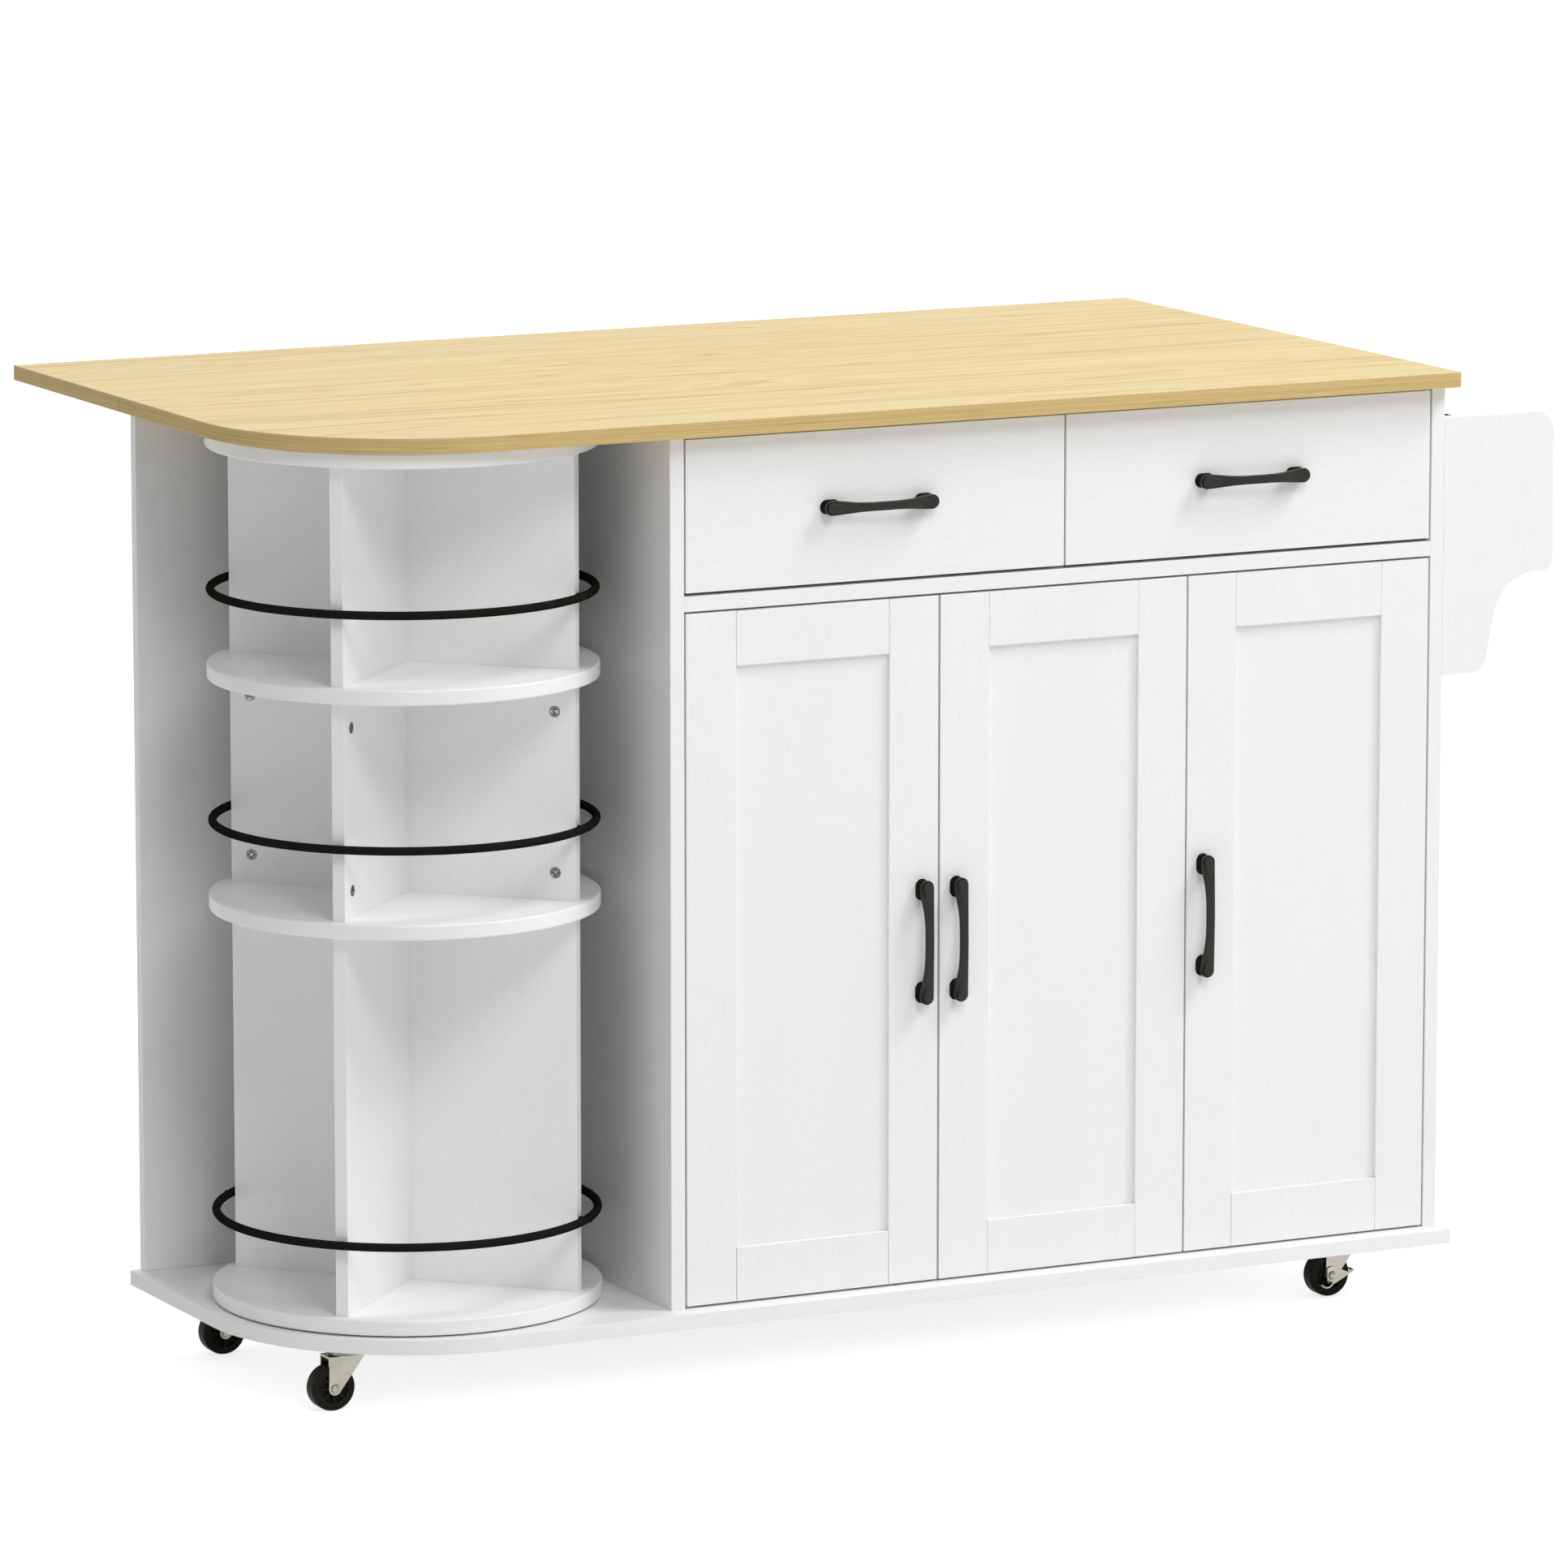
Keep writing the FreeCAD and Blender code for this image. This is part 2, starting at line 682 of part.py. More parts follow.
def cam_tools(tier, radius, depth):
    """Cam locks of the middle tier: two at each end of the wide panel and two in each half panel."""
    low, high = tier
    face = tower_board / 2
    wide, half = [], []
    for z in (low + cam_from_shelf, high - cam_from_shelf):
        for sign in (-1, 1):
            x = sign * (panel_end - cam_from_end)
            wide.append(rod(Vector(x, -face, z), Vector(x, depth - face, z), radius))
            half.append(rod(Vector(face, x, z), Vector(face - depth, x, z), radius))
    return wide, half


def cam_slotted(cam, face_is_x):
    """Cross slot in the visible end of a cam."""
    box = cam.BoundBox
    middle = box.Center
    half_length, half_width = cam_slot_length / 2, cam_slot / 2
    for long_y, long_z in ((half_length, half_width), (half_width, half_length)):
        if face_is_x:
            tool = block(box.XMax - cam_slot_depth, box.XMax + overrun, middle.y - long_y, middle.y + long_y,
                         middle.z - long_z, middle.z + long_z)
        else:
            tool = block(middle.x - long_y, middle.x + long_y, box.YMin - overrun, box.YMin + cam_slot_depth,
                         middle.z - long_z, middle.z + long_z)
        cam = cam.cut(tool)
    return cam


def make_tower_panels():
    wide_panels, half_panels, cams = [], [], []
    face = tower_board / 2
    for number, (low, high) in enumerate(tier_spans()):
        wide = block(-panel_end, panel_end, -face, face, low, high)
        halves = [block(-face, face, -panel_end, -face, low, high),
                  block(-face, face, face, panel_end, low, high)]
        if number == 1:
            wide_bores, half_bores = cam_tools((low, high), cam_radius + cam_play, cam_depth + cam_play)
            for bore in wide_bores:
                wide = wide.cut(bore)
            for bore in half_bores:
                halves = [piece.cut(bore) for piece in halves]
            wide_cams, half_cams = cam_tools((low, high), cam_radius, cam_depth)
            cams = [cam_slotted(cam, False) for cam in wide_cams]
            cams += [cam_slotted(cam, True) for cam in half_cams]
        wide_panels.append(wide)
        half_panels += halves
    save("tower_panels", [tower_placed(s) for s in wide_panels + half_panels])
    save("tower_cam_locks", [tower_placed(s) for s in cams])


def make_guard_rings():
    """Round guard rods at disc size, each screwed to the panel ends through short posts."""
    rings = []
    centre_radius = disc_radius - ring_rod_radius
    for low, high in tier_spans():
        z = low + ring_height
        ring = Part.makeTorus(centre_radius, ring_rod_radius, Vector(0, 0, z), Z_AXIS)
        posts = []
        for quarter in range(4):
            turn = math.radians(90 * quarter)
            way = Vector(math.cos(turn), math.sin(turn), 0)
            foot = way * panel_end + Z_AXIS * z
            posts.append(rod(foot, foot + way * (centre_radius - panel_end), ring_post_radius))
            seat = way * centre_radius + Z_AXIS * z
            posts.append(rod(seat, seat + way * (ring_rod_radius + ring_screw_head), ring_screw_radius))
        rings.append(tower_placed(fused([ring] + posts)))
    save("tower_guard_rings", rings)


def make_tower_bearings():
    inner = bearing_radius - bearing_width
    third = bearing_width / 3

    def flat_ring(low, high, inside, outside):
        return Part.makeCylinder(outside, high - low, Vector(0, 0, low)).cut(
            Part.makeCylinder(inside, high - low + 2 * overrun, Vector(0, 0, low - overrun)))

    middle = bearing_lower + bearing_play
    lower = flat_ring(0, bearing_lower, inner + third, bearing_radius)
    upper = flat_ring(middle, bearing_lower + bearing_play + bearing_upper, inner, bearing_radius)
    save("turntable_lower_ring", tower_placed(lower))
    save("turntable_upper_ring", tower_placed(upper))
    top_z = top_disc_bottom + board
    pin = rod(Vector(0, 0, top_z - pivot_seat), Vector(0, 0, top_z + pivot_reach), pivot_radius)
    save("tower_pivot_pin", tower_placed(pin))


# Drop leaf

def flat_link(a, b, x0):
    """Bar with round ends between two pivots, in a plane across x, with a pin hole at a."""
    bar = plate(tapered_lobe(Vector(x0, a.y, a.z), link_half_width, Vector(x0, b.y, b.z), link_half_width,
                             Y_AXIS, Z_AXIS), X_AXIS * link_thickness)
    hole = rod(Vector(x0 - overrun, a.y, a.z), Vector(x0 + link_thickness + overrun, a.y, a.z),
               bracket_pin_radius + pin_play)
    return bar.cut(hole)


def stay_lengths():
    """Stay straight when the leaf is up, folded flat on itself when the leaf hangs."""
    span = math.hypot(stay_low, stay_out)
    return (span + (stay_out - stay_low)) / 2, (span - (stay_out - stay_low)) / 2


def stay_points():
    low = Vector(0, pivot_y, pivot_z - stay_low)
    high = Vector(0, pivot_y + stay_out, pivot_z)
    knee = low + (high - low) * (stay_lengths()[0] / (high - low).Length)
    return low, high, knee


def ear(x0, x1, y, z, radius):
    return rod(Vector(x0, y, z), Vector(x1, y, z), radius)


def wall_rail(x):
    """Channel on the carcass back with the main pivot and the lower stay pivot riveted in."""
    outer = wall_rail_half_width
    top, bottom = worktop_bottom - sheet, worktop_bottom - sheet - wall_rail_length
    shape = block(x - outer, x + outer, cabinet_depth, cabinet_depth + wall_rail_depth, bottom, top)
    shape = shape.cut(block(x - outer + sheet, x + outer - sheet, cabinet_depth + sheet,
                            cabinet_depth + wall_rail_depth + overrun, bottom - overrun, top + overrun))
    main_pin = rod(Vector(x - outer - bracket_head, pivot_y, pivot_z),
                   Vector(x + outer + bracket_head, pivot_y, pivot_z), bracket_pin_radius)
    low = stay_points()[0]
    low_pin = rod(Vector(x - outer - bracket_head, low.y, low.z), Vector(x - side_play / 2, low.y, low.z),
                  bracket_pin_radius)
    heads = [ear(x - outer - bracket_head, x - outer, pivot_y, pivot_z, bracket_head_radius),
             ear(x + outer, x + outer + bracket_head, pivot_y, pivot_z, bracket_head_radius),
             ear(x - outer - bracket_head, x - outer, low.y, low.z, bracket_head_radius)]
    return fused([shape, main_pin, low_pin] + heads)


def leaf_arm(x):
    """Channel under the leaf that turns on the wall rail's pivot."""
    outer = wall_rail_half_width - sheet - side_play
    y0, y1 = pivot_y - ear_radius, pivot_y - ear_radius + arm_length
    web = block(x - outer, x + outer, y0 + ear_radius, y1, worktop_bottom - sheet, worktop_bottom)
    rims = [block(a, a + sheet, y0 + ear_radius, y1, worktop_bottom - arm_rim, worktop_bottom)
            for a in (x - outer, x + outer - sheet)]
    high = stay_points()[1]
    ears = [ear(a, a + sheet, pivot_y, pivot_z, ear_radius) for a in (x - outer, x + outer - sheet)]
    ears.append(ear(x + outer - sheet, x + outer, high.y, high.z, ear_radius))
    necks = [block(a, a + sheet, pivot_y, pivot_y + ear_radius, pivot_z, worktop_bottom)
             for a in (x - outer, x + outer - sheet)]
    necks.append(block(x + outer - sheet, x + outer, high.y - ear_radius, high.y + ear_radius, pivot_z,
                       worktop_bottom))
    high_pin = rod(Vector(x + side_play / 2, high.y, high.z), Vector(x + outer, high.y, high.z),
                   bracket_pin_radius)
    shape = fused([web] + rims + ears + necks + [high_pin])
    hole = rod(Vector(x - outer - overrun, pivot_y, pivot_z), Vector(x + outer + overrun, pivot_y, pivot_z),
               bracket_pin_radius + pin_play)
    return shape.cut(hole)


def knee_rivet(knee, x0, x1):
    return ear(x0, x1, knee.y, knee.z, bracket_head_radius - side_play)


def make_leaf():
    z0, z1 = worktop_bottom, worktop_bottom + board
    save("leaf_board", block(base_left, base_right, leaf_front, leaf_back, z0, z1))
    low, high, knee = stay_points()
    lower, upper = [], []
    for x in bracket_middles:
        lower_x = x - side_play / 2 - link_thickness
        upper_x = x + side_play / 2
        lower.append(flat_link(low, knee, lower_x).fuse(knee_rivet(knee, lower_x - sheet / 2, lower_x)))
        upper_end = upper_x + link_thickness
        upper.append(flat_link(high, knee, upper_x).fuse(knee_rivet(knee, upper_end, upper_end + sheet / 2)))
    save("bracket_wall_rails", [wall_rail(x) for x in bracket_middles])
    save("leaf_bracket_arms", [leaf_arm(x) for x in bracket_middles])
    save("leaf_stay_lower_links", lower)
    save("leaf_stay_upper_links", upper)


# Side rack

def rack_outline(y):
    """Rack end board: wide tray part above, hollow sweep down to a narrow slanted foot."""
    left, right = cabinet_width, rack_right
    top = cabinet_height - rack_drop
    bottom = top - rack_height
    lip = top - rack_lip_height
    up, across = math.cos(math.radians(rack_lean)), math.sin(math.radians(rack_lean))
    toe = Vector(left + rack_foot_reach - rack_foot_corner * up, y, bottom + rack_foot_corner)
    sweep_z = lip - rack_lip_corner - rack_sweep
    climb = (sweep_z + rack_sweep * across - toe.z + rack_foot_corner * across) / up
    sweep_x = left + rack_foot_reach + climb * across + rack_sweep * up

    def at(x, z):
        return Vector(x, y, z)

    arcs = [
        arc_about(at(right - rack_corner, top - rack_corner), rack_corner, 90, 0, X_AXIS, Z_AXIS),
        arc_about(at(right - rack_lip_corner, lip), rack_lip_corner, 0, -90, X_AXIS, Z_AXIS),
        arc_about(at(sweep_x, sweep_z), rack_sweep, 90, 180 - rack_lean, X_AXIS, Z_AXIS),
        arc_about(toe, rack_foot_corner, -rack_lean, -90, X_AXIS, Z_AXIS),
        Part.makeLine(at(left, bottom), at(left, top)),
    ]
    return joined(arcs)


def rack_rods():
    """Guard rods along the tray's outer edge, then the towel bar."""
    top = cabinet_height - rack_drop
    bottom = top - rack_height
    guard = Vector(rack_right - rack_rod_inset, 0, top - rack_rod_drop)
    rods = [(guard - Z_AXIS * (k * rack_rod_pitch), rack_rod_radius) for k in range(rack_rod_count)]
    rods.append((Vector(cabinet_width + towel_bar_reach, 0, bottom + towel_bar_lift), towel_bar_radius))
    return rods


def make_rack():
    y_front, y_rear = board - rod_seat, cabinet_depth - board + rod_seat
    boards = [plate(rack_outline(y), Y_AXIS * board) for y in (0, cabinet_depth - board)]
    rods = []
    for place, radius in rack_rods():
        start, end = Vector(place.x, y_front, place.z), Vector(place.x, y_rear, place.z)
        rods.append(rod(start, end, radius))
        hole = rod(start, end, radius + rod_play)
        boards = [piece.cut(hole) for piece in boards]
    lip = cabinet_height - rack_drop - rack_lip_height
    shelf = block(cabinet_width, cabinet_width + rack_shelf_reach, board, cabinet_depth - board,
                  lip - rack_lip_corner / 2, lip - rack_lip_corner / 2 + board)
    save("rack_boards", boards + [shelf])
    save("rack_rods", rods)


# Casters, built with the axle at the origin and the swivel ahead of it

def caster_wheel():
    half = wheel_width / 2
    wheel = rod(Vector(0, -half, 0), Vector(0, half, 0), wheel_radius)
    wheel = wheel.makeFillet(wheel_edge, [e for e in wheel.Edges if e.Length > wheel_radius * math.pi])
    for side in (-1, 1):
        deep, clear = Y_AXIS * (side * (half - hub_recess)), Y_AXIS * (side * (half + overrun))
        pocket = rod(deep, clear, hub_recess_radius).cut(rod(deep, clear, hub_radius))
        for k in range(spoke_count):
            spoke = block(0, hub_recess_radius, -half - overrun, half + overrun,
                          -spoke_width / 2, spoke_width / 2)
            spoke.rotate(Vector(0, 0, 0), Y_AXIS, 360 * k / spoke_count)
            pocket = pocket.cut(spoke)
        wheel = wheel.cut(pocket)
    bore = rod(Vector(0, -half - overrun, 0), Vector(0, half + overrun, 0), axle_radius + pin_play)
    return wheel.cut(bore)


def caster_fork():
    """Folded steel fork: two tapered cheeks under a top plate, turning on the kingpin."""
    inner = wheel_width / 2 + fork_play
    outer = inner + fork_sheet
    top = -board - fork_drop - axle_z
    rear, ahead = caster_trail - fork_rear, caster_trail + fork_rear
    far = math.hypot(ahead, top)
    lean = math.degrees(math.acos(fork_toe / far)) - math.degrees(math.atan2(top, ahead))
    cheeks = []
    for y0 in (-outer, inner):
        toe = arc_about(Vector(0, y0, 0), fork_toe, 180, 360 - lean, X_AXIS, Z_AXIS)
        rim = Part.makeLine(Vector(ahead, y0, top), Vector(rear, y0, top))
        cheeks.append(plate(joined([toe, rim]), Y_AXIS * fork_sheet))
    crown = block(rear, ahead, -outer, outer, top - fork_sheet, top)
    shape = fused(cheeks + [crown])
    swivel = Vector(caster_trail, 0, top)
    shape = shape.cut(rod(swivel - Z_AXIS * (fork_sheet + overrun), swivel + Z_AXIS * overrun,
                          kingpin_radius + pin_play))
    return shape.cut(rod(Vector(0, -outer - overrun, 0), Vector(0, outer + overrun, 0), axle_radius))


def caster_axle(brake_side):
    """Rivet through fork and wheel, longer on the side of a brake lever."""
    half = wheel_width / 2 + fork_play + fork_sheet
    ends = {side: half + (brake_sheet + 2 * brake_play if side == brake_side else 0) for side in (-1, 1)}
    shaft = rod(Vector(0, -ends[-1], 0), Vector(0, ends[1], 0), axle_radius)
    heads = [rod(Vector(0, side * end, 0), Vector(0, side * (end + axle_head), 0), axle_head_radius)
             for side, end in ends.items()]
    return fused([shaft] + heads)


def heel_tab(y):
    """Dished tab behind the axle, folded out from the lever."""
    middle = Vector(-heel_out, y, -heel_down)
    outer = arc_about(middle, heel_radius, heel_start, heel_end, X_AXIS, Z_AXIS)
    inner = arc_about(middle, heel_radius - brake_sheet, heel_end, heel_start, X_AXIS, Z_AXIS)
    return plate(joined([outer, inner]), Y_AXIS * (heel_reach + brake_sheet))


def caster_brake():
    """Lever that rocks on the axle outside the fork, its tip folded in over the tread."""
    near = -wheel_width / 2 - fork_play - fork_sheet - brake_play
    eye = Vector(0, near - brake_sheet, 0)
    beak = eye + Vector(brake_beak_out, 0, brake_beak_up)
    tip = eye + Vector(brake_tip_out, 0, brake_tip_up)
    body = plate(tapered_lobe(eye, brake_eye_radius, beak, brake_tip_radius, X_AXIS, Z_AXIS),
                 Y_AXIS * brake_sheet)
    body = body.cut(block(-brake_eye_radius - overrun, -brake_flat, eye.y - overrun, near + overrun,
                          -brake_eye_radius - overrun, brake_eye_radius + overrun))
    neck = plate(tapered_lobe(beak, brake_tip_radius, tip, brake_tip_radius, X_AXIS, Z_AXIS),
                 Y_AXIS * brake_sheet)
    pedal = rod(tip, tip + Y_AXIS * pedal_length, brake_tip_radius)
    lever = fused([body, neck, pedal, heel_tab(eye.y - heel_reach)])
    return lever.cut(rod(eye - Y_AXIS * overrun, eye + Y_AXIS * (brake_sheet + overrun),
                         axle_radius + pin_play))


def caster_plate_shape(place):
    """Fixed plate with its race, kingpin and screws, under the base board."""
    x, y = place
    under = Vector(x, y, -board)
    half = caster_plate_side / 2
    flat = block(x - half, x + half, y - half, y + half, -board - caster_plate, -board)
    fork_top = -board - fork_drop
    race = rod(under - Z_AXIS * caster_plate, Vector(x, y, fork_top + race_play), race_radius)
    pin_end = fork_top - fork_sheet - race_play
    kingpin = rod(under - Z_AXIS * caster_plate, Vector(x, y, pin_end), kingpin_radius)
    head = rod(Vector(x, y, pin_end), Vector(x, y, pin_end - kingpin_head), kingpin_head_radius)
    reach = half - plate_screw_inset
    screws = []
    for sx, sy in ((-1, -1), (-1, 1), (1, -1), (1, 1)):
        foot = Vector(x + sx * reach, y + sy * reach, -board - caster_plate)
        screws.append(rod(foot, foot - Z_AXIS * plate_screw_head, plate_screw_radius))
    return fused([flat, race, kingpin, head] + screws)


def make_casters():
    for name, (x, y) in caster_places.items():
        axle_at = Vector(x - caster_trail, y, axle_z)
        outer_side = -1 if name.startswith("front") else 1
        pieces = {"_fork": [caster_fork(), caster_axle(outer_side if name in braked else 0)],
                  "_wheel": [caster_wheel()]}
        if name in braked:
            lever = caster_brake()
            pieces["_brake"] = [lever if outer_side < 0 else lever.mirror(Vector(0, 0, 0), Y_AXIS)]
        for ending, solids in pieces.items():
            for solid in solids:
                solid.translate(axle_at)
            save(name + ending, solids)
    save("caster_plates", [caster_plate_shape(place) for place in caster_places.values()])


os.makedirs("parts", exist_ok=True)
make_base_board()
make_worktop()
make_pivot_bushing()
make_carcass()
make_doors()
make_drawers()
make_tower_discs()
make_tower_panels()
make_guard_rings()
make_tower_bearings()
make_leaf()
make_rack()
make_casters()
print("stay links", [round(length, 2) for length in stay_lengths()])
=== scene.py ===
"""Dresses a rolling kitchen island: lacquered boards, a pale wood top and black fittings."""
import json
import math

import bmesh
import bpy
from bpy.props import FloatProperty, FloatVectorProperty, PointerProperty
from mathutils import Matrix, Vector


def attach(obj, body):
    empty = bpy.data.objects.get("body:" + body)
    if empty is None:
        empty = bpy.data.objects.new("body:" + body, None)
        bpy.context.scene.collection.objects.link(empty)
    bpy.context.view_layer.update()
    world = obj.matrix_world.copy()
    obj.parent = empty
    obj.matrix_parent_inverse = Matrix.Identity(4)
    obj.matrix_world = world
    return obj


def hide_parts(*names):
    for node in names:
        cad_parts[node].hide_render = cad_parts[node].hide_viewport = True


bl_info = {
    "name": "Rolling kitchen island",
    "version": (1, 0, 0),
    "blender": (4, 5, 0),
    "location": "3D View > Sidebar > Island",
    "description": "Builds the looks of a rolling kitchen island round its fixed frame",
    "category": "Object",
}

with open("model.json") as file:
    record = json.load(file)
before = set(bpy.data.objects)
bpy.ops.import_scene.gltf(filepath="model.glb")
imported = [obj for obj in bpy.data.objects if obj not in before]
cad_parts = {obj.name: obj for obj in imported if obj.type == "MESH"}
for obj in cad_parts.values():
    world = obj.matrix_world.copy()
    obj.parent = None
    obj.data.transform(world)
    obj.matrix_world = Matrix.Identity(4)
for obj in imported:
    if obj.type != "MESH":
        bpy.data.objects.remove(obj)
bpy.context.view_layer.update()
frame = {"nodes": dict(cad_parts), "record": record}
NODES = frame["nodes"]
BODY_OF = {node: body for body, nodes in frame["record"]["behaviour"]["bodies"].items() for node in nodes}
SLOT_OF = {entry["node"]: entry["material_slot"] for entry in frame["record"]["subparts"]}

MERGE = 1e-6                    # vertices closer than this are one
FLAT = math.radians(1)          # triangles that meet flatter than this are one face
SHARP = math.radians(31)        # edges sharper than this get a round
LEVEL_RISE = 0.9                # a face whose normal rises more than this is a top or an underside

UP, DOWN = Vector((0, 0, 1)), Vector((0, 0, -1))
FORWARD, BACKWARD = Vector((0, -1, 0)), Vector((0, 1, 0))
RIGHT = Vector((1, 0, 0))

DRAWERS = ("left_drawer", "right_drawer")
DOORS = ("left_door", "middle_door", "right_door")
CASTERS = ("front_left", "back_left", "front_right", "back_right")
BRAKED = ("front_right", "back_right")


class IslandBoards(bpy.types.PropertyGroup):
    edge: FloatProperty(name="Board edge", description="Round on the edges of lacquered boards",
                        default=0.0006, unit="LENGTH")
    top_edge: FloatProperty(name="Top edge", description="Round on the edges of the wooden top",
                            default=0.0005, unit="LENGTH")
    disc_edge: FloatProperty(name="Disc edge", description="Round on the rims of the tower's discs",
                             default=0.002, unit="LENGTH")
    door_edge: FloatProperty(name="Door edge", default=0.0008, unit="LENGTH",
                             description="Round on the edges of the doors' stiles and rails")
    joint: FloatProperty(name="Joint", description="Shortening of a door's rails at each end",
                         default=0.00012, unit="LENGTH")
    panel_edge: FloatProperty(name="Tower panel edge", description="Round on the edges of the tower's panels",
                              default=0.001, unit="LENGTH")
    fork_edge: FloatProperty(name="Fork edge", description="Round on the edges of the caster forks",
                             default=0.0006, unit="LENGTH")
    metal_edge: FloatProperty(name="Sheet edge", description="Round on the edges of pressed steel",
                              default=0.0003, unit="LENGTH")


class IslandColours(bpy.types.PropertyGroup):
    white: FloatVectorProperty(name="Lacquer", description="Colour of the lacquered boards",
                               subtype="COLOR", size=3, default=(0.90, 0.90, 0.90))
    wood_light: FloatVectorProperty(name="Light wood", description="Lightest colour of the top's grain",
                                    subtype="COLOR", size=3, default=(0.79, 0.645, 0.35))
    wood_dark: FloatVectorProperty(name="Dark wood", description="Darkest colour of the top's grain",
                                   subtype="COLOR", size=3, default=(0.48, 0.34, 0.14))
    edge_light: FloatVectorProperty(name="Light edge", description="Lightest colour of the top's edge band",
                                    subtype="COLOR", size=3, default=(0.69, 0.52, 0.235))
    edge_dark: FloatVectorProperty(name="Dark edge", description="Darkest colour of the top's edge band",
                                   subtype="COLOR", size=3, default=(0.34, 0.235, 0.085))
    black: FloatVectorProperty(name="Black", description="Colour of the rods and rings",
                               subtype="COLOR", size=3, default=(0.014, 0.0135, 0.0105))
    handle: FloatVectorProperty(name="Handle", description="Colour of the handles", subtype="COLOR", size=3,
                                default=(0.0255, 0.025, 0.0205))
    zinc: FloatVectorProperty(name="Zinc", description="Colour of plated steel",
                              subtype="COLOR", size=3, default=(0.62, 0.62, 0.63))
    caster_steel: FloatVectorProperty(name="Caster steel", description="Colour of the caster forks",
                                      subtype="COLOR", size=3, default=(0.375, 0.358, 0.305))
    tyre: FloatVectorProperty(name="Wheel", description="Colour of the caster wheels",
                              subtype="COLOR", size=3, default=(0.0195, 0.0186, 0.0145))
    bushing: FloatVectorProperty(name="Bushing", description="Colour of the tower's bushing",
                                 subtype="COLOR", size=3, default=(0.75, 0.75, 0.73))


class IslandStage(bpy.types.PropertyGroup):
    camera_place: FloatVectorProperty(name="Camera", description="Where the camera stands",
                                      subtype="TRANSLATION", size=3, default=(-4.17888, -8.32761, 2.13267))
    camera_tilt: FloatProperty(name="Tilt", description="Camera's angle above straight down",
                               default=math.radians(80.2052), subtype="ANGLE")
    camera_turn: FloatProperty(name="Turn", description="Camera's angle about the vertical",
                               default=math.radians(-26.6105), subtype="ANGLE")
    lens: FloatProperty(name="Lens", description="Focal length in millimetres", default=214.94)
    sensor: FloatProperty(name="Sensor", description="Sensor width in millimetres", default=36.0)
    sky: FloatProperty(name="Sky", description="Strength of the even light", default=0.375)
    floor_glow: FloatProperty(name="Floor glow", default=0.72,
                              description="Strength of the white that the floor adds for the camera")
    lamp_width: FloatProperty(name="Lamp width", description="Width of each round lamp",
                              default=2.4, unit="LENGTH")


# Materials

UNTINTED = (1, 1, 1)                                        # leaves a colour as it is in a multiply
MIX_SHARE, MIX_FIRST, MIX_SECOND, MIX_COLOUR = 0, 6, 7, 2   # places of a colour mix's sockets


class Shader:
    """A material under construction. Its calls add nodes and hand back the output that feeds the next."""

    def __init__(self, name, roughness, metallic=0.0, specular=0.5):
        self.material = bpy.data.materials.new(name)
        self.material.use_nodes = True
        self.tree = self.material.node_tree
        self.surface = self.tree.nodes["Principled BSDF"]
        self.surface.inputs["Roughness"].default_value = roughness
        self.surface.inputs["Metallic"].default_value = metallic
        self.surface.inputs["Specular IOR Level"].default_value = specular

    def add(self, kind, **values):
        node = self.tree.nodes.new(kind)
        for key, value in values.items():
            if hasattr(node, key):
                setattr(node, key, value)
            else:
                node.inputs[key].default_value = value
        return node

    def join(self, source, target, entry):
        self.tree.links.new(source, target.inputs[entry])

    def noise(self, scale, detail, distortion=0.0):
        """Noise in the piece's own space, drawn out along an axis where the scale is low."""
        place = self.add("ShaderNodeTexCoord")
        mapping = self.add("ShaderNodeMapping", Scale=scale)
        noise = self.add("ShaderNodeTexNoise", Scale=1.0, Detail=detail, Distortion=distortion)
        self.join(place.outputs["Object"], mapping, "Vector")
        self.join(mapping.outputs["Vector"], noise, "Vector")
        return noise.outputs["Fac"]

    def ramp(self, source, *stops):
        """Colours over a value, each at its place from 0 to 1."""
        ramp = self.add("ShaderNodeValToRGB")
        elements = ramp.color_ramp.elements
        while len(elements) < len(stops):
            elements.new(0.5)
        for element, (position, colour) in zip(elements, stops):
            element.position = position
            element.color = (*colour, 1)
        self.join(source, ramp, "Fac")
        return ramp.outputs["Color"]

    def multiply(self, share, first, second):
        """The first colour multiplied by the second, as far as the share says."""
        mix = self.add("ShaderNodeMix", data_type="RGBA", blend_type="MULTIPLY")
        mix.inputs[MIX_SHARE].default_value = share
        self.join(first, mix, MIX_FIRST)
        self.join(second, mix, MIX_SECOND)
        return mix.outputs[MIX_COLOUR]

    def colour(self, source):
        self.join(source, self.surface, "Base Color")

    def mottle(self, colour, scale, detail, low, high):
        """Give the surface a colour that drifts between two shares of itself."""
        cloud = self.noise((scale, scale, scale), detail)
        self.colour(self.ramp(cloud, (0.3, shaded(colour, low)), (0.7, shaded(colour, high))))

    def bump(self, source, strength, distance):
        bump = self.add("ShaderNodeBump", Strength=strength, Distance=distance)
        self.join(source, bump, "Height")
        self.join(bump.outputs["Normal"], self.surface, "Normal")


def shaded(colour, share):
    """A colour made darker or lighter by a share."""
    return tuple(channel * share for channel in colour)


